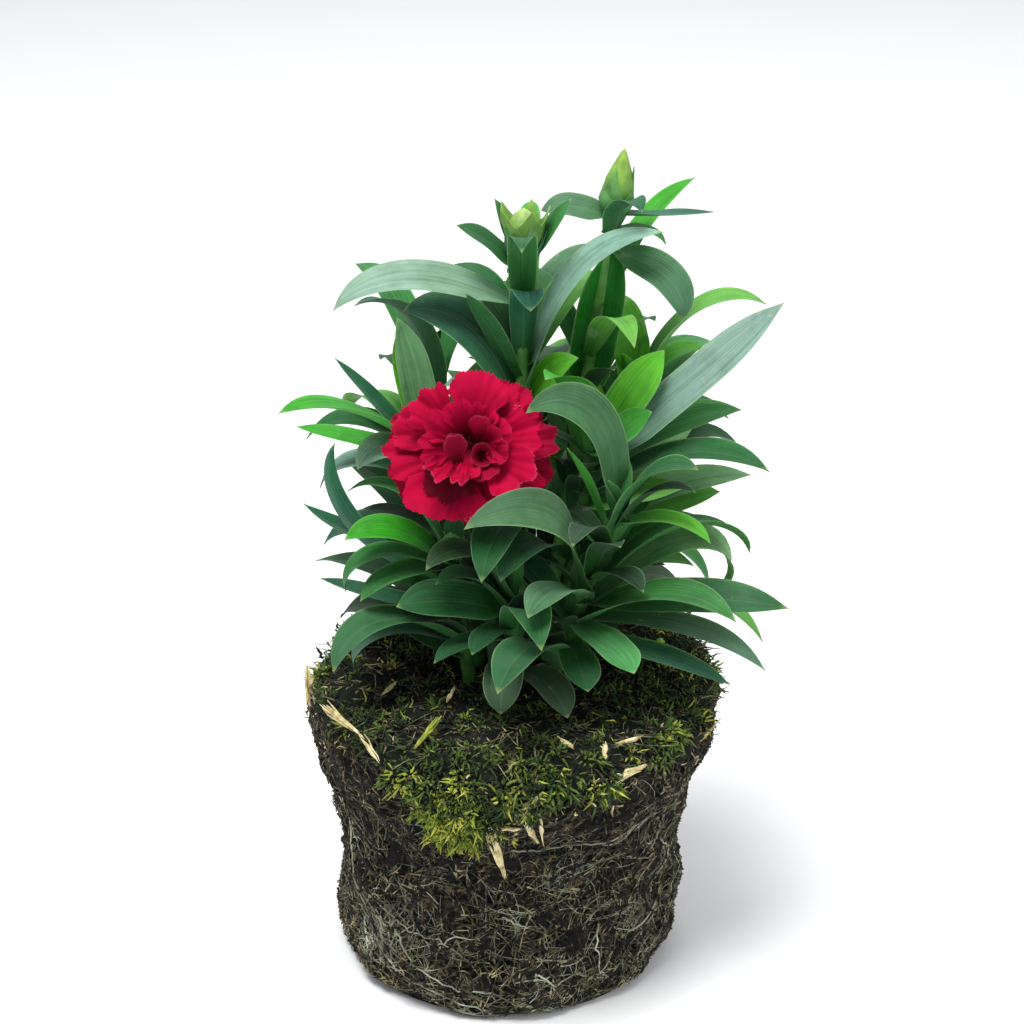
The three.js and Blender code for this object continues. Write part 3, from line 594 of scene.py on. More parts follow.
posed = {}
for name, shoot in shoots.items():
    tones = shoot["tones"].split()
    posed[name] = [
        (settleLeaf(name, leaf, nudges(turnsToTry)), tones[i]) for i, leaf in enumerate(shoot["leaves"])
    ]
for index, name in enumerate(shoots):
    for number, leaf in enumerate(fillLeaves(name, index)):
        tone = fillTones[(number * 5 + index * 3) % len(fillTones)]
        # the young shoots' fill leaves take vivid greens, partly their own colour and partly painted light
        # shining through the blades
        if name in youngShoots and number % 2:
            tone = "bright" if number % 4 == 1 else "fresh"
        # the front shoot's and the lowest pair's fill leaves take olive and dark: painted shade under the
        # canopy
        if name == "shoot_front" or number < 2:
            tone = "dark" if number % 2 else "olive"
        placed = settleLeaf(name, leaf, nudges(wideTurns))
        if placed and name.startswith("bud_stem") and leaf[0] > budPairs["above"]:
            placed = (*placed[:5], budPairs["narrow"] * placed[5], *placed[6:])
        posed[name].append((placed, tone))
for name in posed:
    posed[name] = [(leaf, tone) for leaf, tone in posed[name] if leaf is not None]
# short leaves in the axils, only where there is room for them, painted dark with the 'shade' tone as the
# shade among the stems
axilLeaves = {
    "gap": 4.5, "each": 4, "highest": 78, "room": 1.5,
    "tries": [(0, 0, 0), (0, 30, 0), (0, -30, 0), (0, 0, 20), (0, 60, 10)],
}
settled = [(other, points, outer, axilLeaves["room"] ** 2 if len(outer) else space)
           for other, points, outer, space in settled]
inner = {}
draw = seeded(3131)
for name, shoot in shoots.items():
    inner[name] = []
    for level in range(int(min(axilLeaves["highest"], shoot["top"][2]) / axilLeaves["gap"])):
        for _ in range(axilLeaves["each"]):
            leaf = (3 + axilLeaves["gap"] * level, 360 * next(draw), 38 + 36 * next(draw),
                    40 + 60 * next(draw), 17 + 13 * next(draw), 6 + 2.5 * next(draw))
            inner[name].append(settleLeaf(name, leaf, axilLeaves["tries"]))
    inner[name] = [leaf for leaf in inner[name] if leaf is not None]
print("axil leaves:", sum(len(leaves) for leaves in inner.values()))
print("leaves settled:", sum(len(leaves) for leaves in posed.values()))


def growLeaf(bm, name, leaf, toneName, draw, grid=(blade["across"], blade["along"])):
    across, along = grid
    points, side, up, half = bladeRows(name, leaf, along)
    power = np.where(np.arange(along + 1) < half.argmax(), blade["fullness"], blade["point"])
    half = half.max() * (half / half.max()) ** power
    wave, phase = 0.25 + 0.35 * next(draw), 6.28 * next(draw)
    base = linear(leafTones[toneName])
    vary = [1 + 0.14 * (next(draw) - 0.5) for _ in range(3)]
    paint = bm.verts.layers.float_color["pieceTone"]
    made = []
    for face in (1, -1):
        def place(row, column):
            s, t = row / along, 2 * column / across - 1
            hollow = 2.9 * blade["channel"] + 0.9 * math.exp(-s / 0.05)
            lift = half[row] * hollow * abs(t) ** 1.5
            lift += wave * t * t * math.sin(9 * s + phase + t) * min(1, 3 * s) * (1 - s)
            body = blade["thick"] * (1 - abs(t) ** 2.2) * min(1, 12 * s) * (0.5 + 0.5 * (1 - s))
            keel = (0.2 if face < 0 else 0) * math.exp(-(t / 0.2) ** 2) * (1 - s) * min(1, 12 * s)
            lift += face * body / 2 - keel
            return Vector(points[row] + side[row] * half[row] * t + up[row] * lift)
        # the underside has less wax and is a little yellower
        light = (1, 1, 1) if face > 0 else (1.06, 1.12, 0.86)
        colour = [c * v * w for c, v, w in zip(base, vary, light)] + [1]
        for vert in mapGrid(bm, across, along, place):
            vert[paint] = colour
            made.append(vert)
    weld(bm, made)


def squareTo(axis):
    # two directions square to the axis and to each other
    u = (Vector((0, 1, 0)) if abs(axis.y) < 0.9 else Vector((1, 0, 0))).cross(axis).normalized()
    return u, axis.cross(u)


def growStem(bm, line, radius, steps, nodes, tone, depth=8, sides=14):
    # a smooth round stem, a hair thicker and darker at each joint
    paint = bm.verts.layers.float_color["pieceTone"]
    centres = [line(0) - np.array([0, 0, depth])] + [line(i / steps) for i in range(steps + 1)]
    heights = [centre[2] - soil for centre in centres]
    last = len(centres) - 1
    heading = [
        Vector(centres[min(last, i + 1)] - centres[max(0, i - 1)]).normalized() for i in range(last + 1)
    ]

    def place(row, column):
        if row > last:
            return Vector(centres[last]) + heading[last] * radius * 0.5
        u, v = squareTo(heading[row])
        swell = sum(0.08 * math.exp(-((heights[row] - node) / 1.4) ** 2) for node in nodes)
        reach = radius * (1 - stemTaper * max(0, row - 1) / steps) * (1 + min(0.1, swell))
        angle = 2 * math.pi * column / sides
        return Vector(centres[row]) + (u * math.cos(angle) + v * math.sin(angle)) * reach

    made = mapGrid(bm, sides, last + 1, place, slot=1)
    colour, joint = linear(tone), linear("2f4f2c")
    for vert in made:
        share = max([math.exp(-((vert.co.z - soil - node) / 1.1) ** 2) for node in nodes] or [0]) * 0.5
        vert[paint] = [c * (1 - share) + j * share for c, j in zip(colour, joint)]
    weld(bm, made)


def growRing(bm, base, axis, rings, sides, tones, teeth=None, slot=1):
    # a closed turned shape from rings of (distance along the axis, radius). Teeth: how many, their
    # length, how far they lean out and the rows, each with its share of that, that they push out
    paint = bm.verts.layers.float_color["pieceTone"]
    axis = Vector(axis)
    u, v = squareTo(axis)
    count, long, lean, rowShares = teeth or (1, 0, 0, {})
    start, end = linear(tones[0]), linear(tones[1])

    def place(row, column):
        along, radius = rings[row]
        angle = 2 * math.pi * (column % sides) / sides
        point = abs(((count * (column % sides) / sides) % 1) * 2 - 1)  # 1 on a tooth's point, 0 between two
        push = rowShares.get(row, 0) * point ** 1.5
        along, radius = along + long * push, radius + lean * push
        return Vector(base) + axis * along + (u * math.cos(angle) + v * math.sin(angle)) * radius

    made = mapGrid(bm, sides, len(rings) - 1, place, slot=slot)
    low = min(along for along, _ in rings)
    high = max(along for along, _ in rings) + long
    for vert in made:
        share = ((vert.co - Vector(base)).dot(axis) - low) / (high - low)
        vert[paint] = [a * (1 - share) + b * share for a, b in zip(start, end)]
    weld(bm, made)


def growOpenBud(bm, base, axis):
    # calyx just splitting: five spread teeth round a hollow, with the folded petals in it
    rings = [(-1, 0), (-1, 1.8), (0.4, 2.4), (2.4, 3.3), (4.8, 4.1), (7.2, 4.7), (9.0, 5.1), (9.6, 5.3),
             (10, 5.4), (10, 5.1), (9, 4.7), (7.6, 3.9), (6.4, 2.6), (7.2, 1.2), (7.4, 0)]
    growRing(bm, base, axis, rings, 60, ("2f6a3c", "88b452"),
             (5, 4.4, 1.3, {7: 0.45, 8: 1, 9: 0.98, 10: 0.45}))
    petalDome = [(6.2, 0), (6.2, 3.2), (8, 3.9), (10, 3.7), (12, 2.4), (13.2, 1.1), (13.8, 0)]
    growRing(bm, base, axis, petalDome, 30, ("6aa048", "b0cc74"))
    for tall, wide, count, tones in ((6.6, 0.35, 5, ("2a5c44", "62a060")),
                                     (4.6, 0.7, 3, ("26523f", "4a8062"))):
        scales = [(-1.2, 1.7), (0.3, 2.7 + wide), (2.4, 3.6 + wide), (3.2, 4.0 + wide), (3.6, 4.1 + wide),
                  (3.6, 3.9 + wide), (2.4, 3.5), (1, 2.5)]
        growRing(bm, base, axis, scales, 60, tones, (count, tall, 1.1, {3: 0.5, 4: 1, 5: 0.97, 6: 0.3}))


def growClosedBud(bm, base, axis):
    # pointed, its scales still wrapped round it
    rings = [(-1, 0), (-1, 1.8), (0.8, 2.7), (3, 3.6), (5.6, 3.9), (8.2, 3.5), (11, 2.5), (13.6, 1.4),
             (15.4, 0.6), (16.2, 0)]
    growRing(bm, base, axis, rings, 30, ("3c8638", "98bc4c"))
    for tall, wide, count in ((8.5, 0.35, 3), (5.5, 0.6, 2)):
        scales = [(-1.2, 1.7), (0.8, 3.0 + wide), (3, 3.9 + wide), (3.4, 4.0 + wide), (3.6, 4.0 + wide),
                  (3.5, 3.7 + wide), (1, 2.6)]
        growRing(bm, base, axis, scales, 36, ("347848", "76b058"),
                 (count, tall, -0.9 - wide, {3: 0.5, 4: 1, 5: 0.97}))


# young leaves at the top of each shoot: turn from the shoot's own, lift, curl, length, width
youngLeaves = [(0, 80, 14, 15, 5.2), (180, 78, 22, 13, 4.8), (90, 84, 8, 10, 3.8), (270, 82, 12, 9, 3.6)]
stemTones = {"leafy": "447a36", "flowering": "63a04a", "flower": "4f8048"}
stemShare = 0.42  # of the shoot's thickness, which is measured across its leaf bases
draw = seeded(555)
for name, shoot in shoots.items():
    bm = bmesh.new()
    bm.verts.layers.float_color.new("pieceTone")
    for leaf, tone in posed[name]:
        growLeaf(bm, name, leaf, tone, draw)
    for leaf in inner[name]:
        # the axil leaves take the dark 'shade' tone: painted shade
        growLeaf(bm, name, leaf, "shade", draw, (6, 16))
    top = shoot["top"][2]
    lowest, highest, gap, start = shoot["pairs"]
    joints = list(range(lowest, highest + 1, gap))
    stemTone = stemTones["flowering" if name.startswith("bud_stem") else "leafy"]
    growStem(bm, lambda k: stemAt(name, k * top), shoot["thick"] * stemShare, max(20, int(top / 1.6)),
             joints, stemTone)
    if name == "bud_stem_left":
        growOpenBud(bm, stemAt(name, top), stemHeading(name))
    elif name == "bud_stem_right":
        growClosedBud(bm, stemAt(name, top), stemHeading(name))
    else:
        for turn, lift, curl, long, wide in youngLeaves:
            young = (top - 0.5, start + turn, lift, curl, long, wide)
            youngTone = "lime" if name in youngShoots else "mint" if turn % 180 else "mid"
            growLeaf(bm, name, young, youngTone, draw)
    finishPiece(name + "_green", bm, [leafSkin, stemSkin], name)
print("shoots grown")


# bloom

# Dianthus petal: thin velvety tissue with fine papillae, so it takes almost no highlight. Each petal's
# painted shade, darker for the petals that lie in shadow, and how pale its rim is come from its attribute.
petalFinish = {
    "veins": 11, "deep": "44000f", "body": "a00030", "bright": "c0003a", "rim": "b8506c", "scurf": "c8606f",
}
petalSkin, tree, shader, place = newMaterial("velvetPetal", {
    "Roughness": 0.8, "IOR": 1.36, "Specular IOR Level": 0.2, "Subsurface Weight": 0.06,
    "Subsurface Radius": (1.0, 0.05, 0.1), "Subsurface Scale": 0.001,
})
own = addNode(tree, "Attribute", {"attribute_name": "pieceTone"})
shadeAndRim = addNode(tree, "SeparateXYZ", links={0: own.outputs["Vector"]}).outputs
flat = addNode(tree, "SeparateXYZ", links={0: place["UV"]}).outputs
cloud = addNode(tree, "TexNoise", {"Scale": 180, "Detail": 5, "Roughness": 0.6}, {"Vector": place["Object"]})
cloudTint = addNode(tree, "ValToRGB", {"stops": [(0.3, petalFinish["body"]), (0.7, petalFinish["bright"])]},
                    {"Fac": cloud})
# painted shade: each petal's first attribute value mixes in the deep colour, most for the petals that lie in
# shadow
tint = addNode(tree, "Mix", {"data_type": "RGBA", 6: petalFinish["deep"]}, {0: shadeAndRim["X"], 7: cloudTint})
# painted shade in the throat: each petal darkens towards its base, deep in the bloom
throatShade = addNode(tree, "MapRange", {"From Min": 0.2, "From Max": 0.55, "To Min": 0.85, "To Max": 0.0},
                      {"Value": flat["Y"]})
rimPlace = addNode(tree, "MapRange", {"From Min": 0.955, "From Max": 1.0}, {"Value": flat["Y"]})
rimShare = addNode(tree, "Math", {"operation": "MULTIPLY"}, {0: rimPlace, 1: shadeAndRim["Y"]})
# pale scurf on a few patches
scurf = addNode(tree, "TexNoise", {"Scale": 90, "Detail": 2}, {"Vector": place["Object"]})
grit = addNode(tree, "TexNoise", {"Scale": 1400, "Detail": 2}, {"Vector": place["Object"]})
scurfWhere = addNode(tree, "MapRange", {"From Min": 0.66, "From Max": 0.72}, {"Value": scurf})
gritWhere = addNode(tree, "MapRange", {"From Min": 0.5, "From Max": 0.62, "To Max": 0.5}, {"Value": grit})
scurfShare = addNode(tree, "Math", {"operation": "MULTIPLY"}, {0: scurfWhere, 1: gritWhere})
for share, colour in ((throatShade, "deep"), (rimShare, "rim"), (scurfShare, "scurf")):
    tint = addNode(tree, "Mix", {"data_type": "RGBA", 7: petalFinish[colour]}, {0: share, 6: tint})
veinAngle = addNode(tree, "Math", {"operation": "MULTIPLY", 1: petalFinish["veins"] * fullTurn},
                    {0: flat["X"]})
veins = addNode(tree, "Math", {"operation": "SINE"}, {0: veinAngle})
velvet = addNode(tree, "TexNoise", {"Scale": 2600, "Detail": 2}, {"Vector": place["Object"]})
relief = addNode(tree, "Math", {"operation": "MULTIPLY_ADD", 1: 0.35}, {0: veins, 2: velvet})
bump = addNode(tree, "Bump", {"Strength": 0.2, "Distance": 0.0001}, {"Height": relief})
wire(tree, shader, {"Base Color": tint, "Normal": bump})


bloomRight = Vector((0, 0, 1)).cross(Vector(-bloomAxis)).normalized()
bloomRight = bloomRight if bloomRight.x > 0 else -bloomRight
bloomUp = Vector(bloomAxis).cross(bloomRight).normalized()
bloomUp = bloomUp if bloomUp.z > 0 else -bloomUp
# petal: angle from the right, reach, opening from the axis, spread, cup, curl, ruffle, forward,
# offset x and y, shade painted into its colour (1 is unshaded, lower for petals that lie in shadow) and rim
# paleness
petals = [
    # the backmost ring shows only between the others, painted darker as shade behind them
    (20, 19.4, 90, 60, 0.4, 0, 1.1, -2.6, 0, 0, 0.5, 0),
    (-22, 20.4, 90, 60, 0.4, 0, 1.2, -2.4, 0, 0, 0.5, 0),
    (-72, 19.4, 90, 70, 0.4, 0, 1.1, -2.6, 0, 0, 0.45, 0),
    (-150, 20.2, 90, 60, 0.4, 0, 1.1, -2.2, 0, 0, 0.45, 0),
    (176, 19.6, 90, 60, 0.4, 0, 1.1, -2.0, 0, 0, 0.5, 0),
    # the outer petals
    (3, 21.3, 88, 36, 0.5, 0, 0.6, -1.7, 0, 0, 0.7, 0.2),
    (35, 19.8, 88, 48, 0.5, 0, 1.0, -1.6, 0, 0, 0.9, 0),
    (56, 17.6, 86, 58, 0.5, -0.6, 0.9, -0.9, 0, 0, 0.95, 0),
    (-48, 21, 88, 60, 0.5, -0.5, 0.9, -1.5, 0, 0, 0.85, 0),
    (-84, 19.4, 88, 60, 0.6, 0, 0.9, -1.3, 0, 0, 0.8, 0),
    (-119, 19.8, 86, 92, 1.2, 0.8, 1.2, -1.2, 0, 0, 0.95, 0),
    # a short petal painted almost black as the shadow inside the fold of the bottom petal
    (-122, 15.2, 82, 80, 1.0, 0.6, 0.9, -0.4, 0, 0, 0.12, 0),
    (188, 20.4, 86, 56, 0.8, 0.2, 1.1, -0.6, 0, 0, 0.85, 0),
    (162, 18.8, 84, 50, 0.6, 0.3, 1.0, 0, 0, 0, 0.9, 0.1),
    (138, 17.8, 80, 54, 0.6, 0.5, 1.2, 0.6, 0, 0, 0.95, 0.1),
    (79, 18.2, 80, 66, 0.8, -0.8, 0.25, 0.6, 0, 0, 1, 0), (6, 17.8, 74, 58, 0.8, 0.4, 0.8, 1.0, 0, 0, 1, 0),
    (-38, 18.2, 72, 64, 1.6, 1.8, 0.7, 1.2, 0, 0, 0.95, 0.3),
    # the middle ones
    (190, 13.8, 62, 56, 1.2, 0.8, 0.6, 1.6, 0, 0, 0.85, 0),
    (152, 13.2, 60, 60, 1.2, 0.4, 0.9, 1.2, 0, 0, 0.9, 0),
    (112, 12.6, 58, 58, 0.8, 0.3, 0.6, 1.0, 0, 0, 0.9, 0),
    (62, 12.2, 58, 58, 0.8, 0.3, 0.7, 1.0, 0, 0, 0.95, 0),
    (20, 12.2, 58, 54, 1.2, 0.5, 0.8, 1.0, 0, 0, 0.9, 0.1),
    (-20, 11.6, 56, 52, 1.2, 0.5, 0.8, 1.1, 0, 0, 0.85, 0.15),
    (-62, 12.2, 58, 56, 1.2, 0.8, 0.6, 1.2, 0, 0, 0.6, 0.1),
    (221, 15.0, 58, 40, -1.2, 2.6, 1.1, 1.4, 0, 0, 0.95, 0.5),
    (252, 13.4, 54, 36, 1.8, 1.6, 0.8, 1.6, 0, 0, 0.75, 0.5),
    (267, 11.4, 54, 50, 0.8, 0.6, 0.5, 2.0, 0, 0, 1, 0.1),
    # the heart: a petal painted dark as shade, standing left of a small hollow that is painted dark inside,
    # and those that wrap it
    (99, 12.0, 56, 46, 1.6, 0.6, 0.4, 4.4, -2.3, -8.6, 0.35, 0.45),
    (88, 10.0, 44, 60, -1.6, 0.4, 0.3, 3.2, 2.2, -0.9, 0.6, 0.45),
    (40, 8.6, 44, 60, 1.2, 0.6, 0.6, 2.0, 2.5, -1.0, 0.75, 0.25),
    (-10, 8.6, 46, 60, 1.4, 0.6, 0.6, 2.0, 3.0, -2.5, 0.75, 0.25),
    (150, 8.0, 46, 60, 1.2, 0.6, 0.6, 2.0, -1.0, -2.0, 0.65, 0.3),
    (-120, 8.0, 48, 60, 1.2, 0.6, 0.6, 2.0, 0, -3.5, 0.7, 0.2),
    (-90, 6.0, 30, 240, 0.3, 0.3, 0.35, 2.6, 2.9, -3.1, 0.4, 0.6),
    (100, 6.2, 27, 170, 0.3, 0.3, 0.4, 2.9, 2.9, -3.1, 0.4, 0.6),
]
petalGrid = {"across": 40, "along": 14, "thick": 0.4, "tooth": 0.5, "start": 0.1}


def growPetal(bm, petal, draw):
    angle, reach, opening, spread, cup, curl, ruffle, forward, offX, offY, shade, rim = petal
    across, along = petalGrid["across"], petalGrid["along"]
    phase, phase2 = 6.28 * next(draw), 6.28 * next(draw)
    tooth = [(1 if c % 2 else -1) * petalGrid["tooth"] * (0.1 + 0.9 * next(draw)) for c in range(across + 1)]
    lobes = [1.1 * (next(draw) - 0.5) for _ in range(5)]
    tilt = math.radians(opening)
    crisp = min(1, (reach / 16) ** 2)  # the short petals of the heart are smoother
    paint = bm.verts.layers.float_color["pieceTone"]
    made = []
    for face in (1, -1):
        def place(row, column):
            s = petalGrid["start"] + (1 - petalGrid["start"]) * row / along
            t = 2 * column / across - 1
            turn = math.radians(angle) + math.radians(spread / 2) * t * (0.66 + 0.34 * s)
            far = reach * s * (1 - 0.14 * t * t * s - 0.12 * t ** 6 * s * s)
            lobed = sum(lobe * math.sin((n + 2) * 1.7 * t + phase) for n, lobe in enumerate(lobes))
            far += s ** 3 * reach / 12 * ruffle * lobed
            if row == along:
                far += tooth[column] * crisp
            out = far * math.sin(tilt)
            rise = far * math.cos(tilt) + 5.5 * math.sin(1.9 * s) - 7 + forward
            rise += curl * s ** 4 + cup * t * t * s
            crease = 0.6 * crisp * ruffle * s ** 4 * math.sin(11 * t + phase2)
            rise += ruffle * s * s * math.sin(4.2 * t + phase) + crease
            rise += 0.16 * crisp * s * s * math.sin(21 * t + phase)
            rise += face * petalGrid["thick"] / 2 * (1 - t ** 8) * (1 - s ** 12) * min(1, 8 * (row / along))
            outward = bloomRight * math.cos(turn) + bloomUp * math.sin(turn)
            middle = Vector(bloomCentre) + bloomRight * offX + bloomUp * offY
            return middle + outward * out + Vector(bloomAxis) * rise
        made += mapGrid(bm, across, along, place)
    for vert in made:
        vert[paint] = (shade, rim, 0, 1)
    weld(bm, made)


bm = bmesh.new()
bm.verts.layers.float_color.new("pieceTone")
draw = seeded(4711)
for petal in petals:
    growPetal(bm, petal, draw)
# the heart that the petals stand on, painted black as the shade deep inside the bloom
heart = [(-7.6, 0), (-7.6, 2.4), (-5.4, 5), (-3.4, 8), (-2.6, 9.6), (-3.2, 8), (-4.4, 4), (-4.8, 0)]
growRing(bm, bloomCentre, bloomAxis, heart, 32, ("000000", "000000"), slot=0)
finishPiece("bloom_petals", bm, [petalSkin], "bloom")

bm = bmesh.new()
bm.verts.layers.float_color.new("pieceTone")
growStem(bm, flowerLine, flower["thick"] * stemShare, 48, [30, 58], stemTones["flower"])
rings = [(-1, 0), (-0.6, 1.9), (1, 2.8), (4, 3.4), (8, 3.8), (11, 4.2), (14, 4.9), (15.0, 5.3), (15.4, 5.5),
         (15.4, 5.2), (13, 4.3), (10, 3.5), (9, 0)]
growRing(bm, calyxBase, bloomAxis, rings, 60, ("4f7f42", "8fb060"), (5, 3.0, 0.4, {7: 0.4, 8: 1, 9: 0.98}))
scales = [(-1.2, 1.7), (0.3, 2.9), (3, 3.8), (3.4, 3.9), (3.7, 4.1), (3.7, 3.9), (2.4, 3.5), (1, 2.4)]
growRing(bm, calyxBase, bloomAxis, scales, 40, ("4f7f42", "6fa04a"),
         (4, 4, 0.3, {3: 0.5, 4: 1, 5: 0.97, 6: 0.4}))
finishPiece("flower_stem_green", bm, [leafSkin, stemSkin], "flower_stem")
print("bloom open")


# root ball

ball = {
    "side": [(0, 41), (3, 43.2), (10, 44.6), (20, 44), (31, 43.4), (42, 44.4), (51, 46.2), (57, 49.8),
             (65, 52.4), (73, 52.4), (77, 49.6)],
    "underside": 37, "relief": 1.5, "around": 290, "row": 1.1, "crumb": 1.6, "crown": 51, "middle": 46,
    "roots": 460, "tuft": 46, "crownClumps": 560, "rimClumps": 420, "sprigs": 11, "chips": 460,
}

sideHeights = [h for h, _ in ball["side"]]
sideRadii = [r for _, r in ball["side"]]


def sideRelief(angle, z):
    waves = 0.5 * math.sin(3 * angle + 0.09 * z) + 0.35 * math.sin(7 * angle - 0.21 * z + 1)
    return ball["relief"] * (waves + 0.4 * math.sin(11 * angle + 0.33 * z + 2))


def topRelief(x, y):
    waves = 0.5 * math.sin(0.21 * x + 1) * math.cos(0.17 * y)
    return ball["relief"] * (waves + 0.4 * math.sin(0.45 * y + 0.31 * x))


def onSide(angle, z, out=0.0):
    radius = float(np.interp(z, sideHeights, sideRadii)) + sideRelief(angle, z) + out
    return Vector((topDrift * z / soil + radius * math.cos(angle), radius * math.sin(angle), z))


def onTop(x, y, up=0.0):
    return Vector((x, y, soil + topRelief(x, y) + up))


# Peat and bark compost held by roots: matt and almost black, browner down the side. The crown, under the
# leaves, is painted darker and a little green as their shade
peat, tree, shader, place = newMaterial("rootedPeat", {"Roughness": 0.95, "IOR": 1.4})
clod = addNode(tree, "TexNoise", {"Scale": 320, "Detail": 8, "Roughness": 0.72, "Distortion": 1.4},
               {"Vector": place["Object"]})
earth = addNode(tree, "ValToRGB", {
    "stops": [(0.34, "030302"), (0.46, "0b0a07"), (0.54, "262318"), (0.64, "6b654b")],
}, {"Fac": clod})
# painted shade in the hollows between the clods: patches a few millimetres across darkened almost to black
hollow = addNode(tree, "TexNoise", {"Scale": 120, "Detail": 4}, {"Vector": place["Object"]})
hollowShade = addNode(tree, "ValToRGB", {"stops": [(0.4, "4c4c4c"), (0.55, "ffffff")]}, {"Fac": hollow})
hollowed = addNode(tree, "Mix", multiply, {6: earth, 7: hollowShade})
spot = addNode(tree, "SeparateXYZ", links={0: place["Object"]}).outputs
# painted shade: the peat darkens and turns a little green over the crown, which lies in the leaves' shade
crownShare = addNode(tree, "MapRange", {"From Min": 0.064, "From Max": 0.077, "To Max": 0.8},
                     {"Value": spot["Z"]})
shadedCrown = addNode(tree, "Mix", {"data_type": "RGBA", 7: "101a0e"}, {0: crownShare, 6: hollowed})
bump = addNode(tree, "Bump", {"Strength": 1.0, "Distance": 0.0018}, {"Height": clod})
wire(tree, shader, {"Base Color": shadedCrown, "Normal": bump})

path = [(0, 0), (18, 0), (ball["underside"], 0)] + [(r, h) for h, r in ball["side"]]
path += [(46, soil), (35, soil), (20, soil), (0, soil)]
lengths = np.cumsum([0] + [math.hypot(b[0] - a[0], b[1] - a[1]) for a, b in zip(path, path[1:])])
rowCount = int(lengths[-1] / ball["row"])
rowAt = np.linspace(0, lengths[-1], rowCount + 1)
rowRadius = np.interp(rowAt, lengths, [p[0] for p in path])
rowHeight = np.interp(rowAt, lengths, [p[1] for p in path])


def crumble(point, amount):
    big = noise.fractal(point * 0.16, 1.0, 2.0, 4)
    small = noise.fractal(point * 0.7 + Vector((9, 4, 2)), 0.8, 2.0, 3)
    return amount * (0.85 * big + 0.7 * small)


def ballPoint(row, column):
    radius, height = rowRadius[row], rowHeight[row]
    angle = 2 * math.pi * (column % ball["around"]) / ball["around"]
    underside = height < 0.01 and radius < sideRadii[0] - 0.1
    onLid = height >= soil - 0.1
    drift = topDrift * height / soil
    relief = 0 if underside else sideRelief(angle, height) * (0.4 if height < 0.01 else 1)
    if onLid:
        relief *= radius / sideRadii[-1]
    x, y = drift + (radius + relief) * math.cos(angle), (radius + relief) * math.sin(angle)
    z = height + (topRelief(x, y) * min(1, (50 - radius) / 6) if onLid else 0)
    point = Vector((x, y, z))
    if underside:
        return point
    if onLid:
        return point + Vector((0, 0, crumble(Vector((x, y, 90)), ball["crumb"])))
    outward = Vector((math.cos(angle), math.sin(angle), 0))
    spot = Vector((math.cos(angle) * ball["middle"], math.sin(angle) * ball["middle"], z))
    return point + outward * crumble(spot, ball["crumb"]) * min(1, height / 4)


bm = bmesh.new()
made = mapGrid(bm, ball["around"], rowCount, ballPoint)
weld(bm, made)
finishPiece("root_ball_peat", bm, [peat], "root_ball", crease=80)
print("root ball shaped")

# The fine things in and on the ball: settings, noise scale and ramp. Dry peat fibre is matt grey-brown,
# a crumb of bark is redder, straw is paler and a touch smoother, a living root is smooth and slightly
# see-through, crown moss is dull and dark, and the moss that hangs in the light is yellow-green
fineFinishes = {
    "peatFibre": ({"Roughness": 0.85}, 330, [(0.37, "0d0c08"), (0.49, "24221a"), (0.62, "6a654e")]),
    "barkCrumb": ({"Roughness": 0.9}, 210, [(0.38, "110e09"), (0.5, "2f271c"), (0.63, "665840")]),
    "strawFibre": ({"Roughness": 0.75}, 300, [(0.38, "38351f"), (0.5, "716c49"), (0.63, "b4ac80")]),
    "driedStraw": ({"Roughness": 0.7}, 420, [(0.3, "8a7a4c"), (0.5, "cdbd88"), (0.72, "efe6c0")]),
    "paleRoot": ({"Roughness": 0.5, "Subsurface Weight": 0.1, "Subsurface Scale": 0.0006}, 120,
                 [(0.34, "58594a"), (0.5, "8b8d76"), (0.68, "c3c9b4")]),
    "darkMoss": ({"Roughness": 0.8}, 150, [(0.3, "0f1a0d"), (0.52, "24381a"), (0.7, "4a6229")]),
    "greenMoss": ({"Roughness": 0.75}, 150, [(0.3, "22360f"), (0.52, "46601f"), (0.7, "7c8a36")]),
    "yellowMoss": ({"Roughness": 0.7, "Subsurface Weight": 0.1, "Subsurface Scale": 0.0005}, 240,
                   [(0.3, "55701a"), (0.5, "96a438"), (0.7, "d2cc60")]),
    "fertiliserPrill": ({"Roughness": 0.35}, 500, [(0.3, "6f9a1c"), (0.6, "8fbf2c")]),
}
fine = {}
for name, (settings, scale, stops) in fineFinishes.items():
    fine[name], tree, shader, place = newMaterial(name, {"IOR": 1.42, **settings})
    streak = addNode(tree, "TexNoise", {"Scale": scale, "Detail": 4}, {"Vector": place["Object"]})
    wire(tree, shader, {"Base Color": addNode(tree, "ValToRGB", {"stops": stops}, {"Fac": streak})})

# loose bits in the peat. Length and thickness are the least and the range, lift is on the crown and on
# the side, and one in so many lies on the crown
looseBits = {
    "peat_fibres": {"finish": "peatFibre", "count": 6500, "long": (2.5, 8), "thick": (0.14, 0.2),
                    "points": 3, "crownEach": 5, "lift": (1.2, 0.9), "high": 76, "sink": 1},
    "bark_crumbs": {"finish": "barkCrumb", "count": 3600, "long": (1.4, 3), "thick": (0.26, 0.34),
                    "points": 3, "crownEach": 5, "lift": (0.6, 0.5), "high": 76, "sink": 1},
    "straw_fibres": {"finish": "strawFibre", "count": 2100, "long": (3, 9), "thick": (0.12, 0.16),
                     "points": 4, "crownEach": 6, "lift": (1.2, 1.2), "high": 70, "sink": 1.5},
}


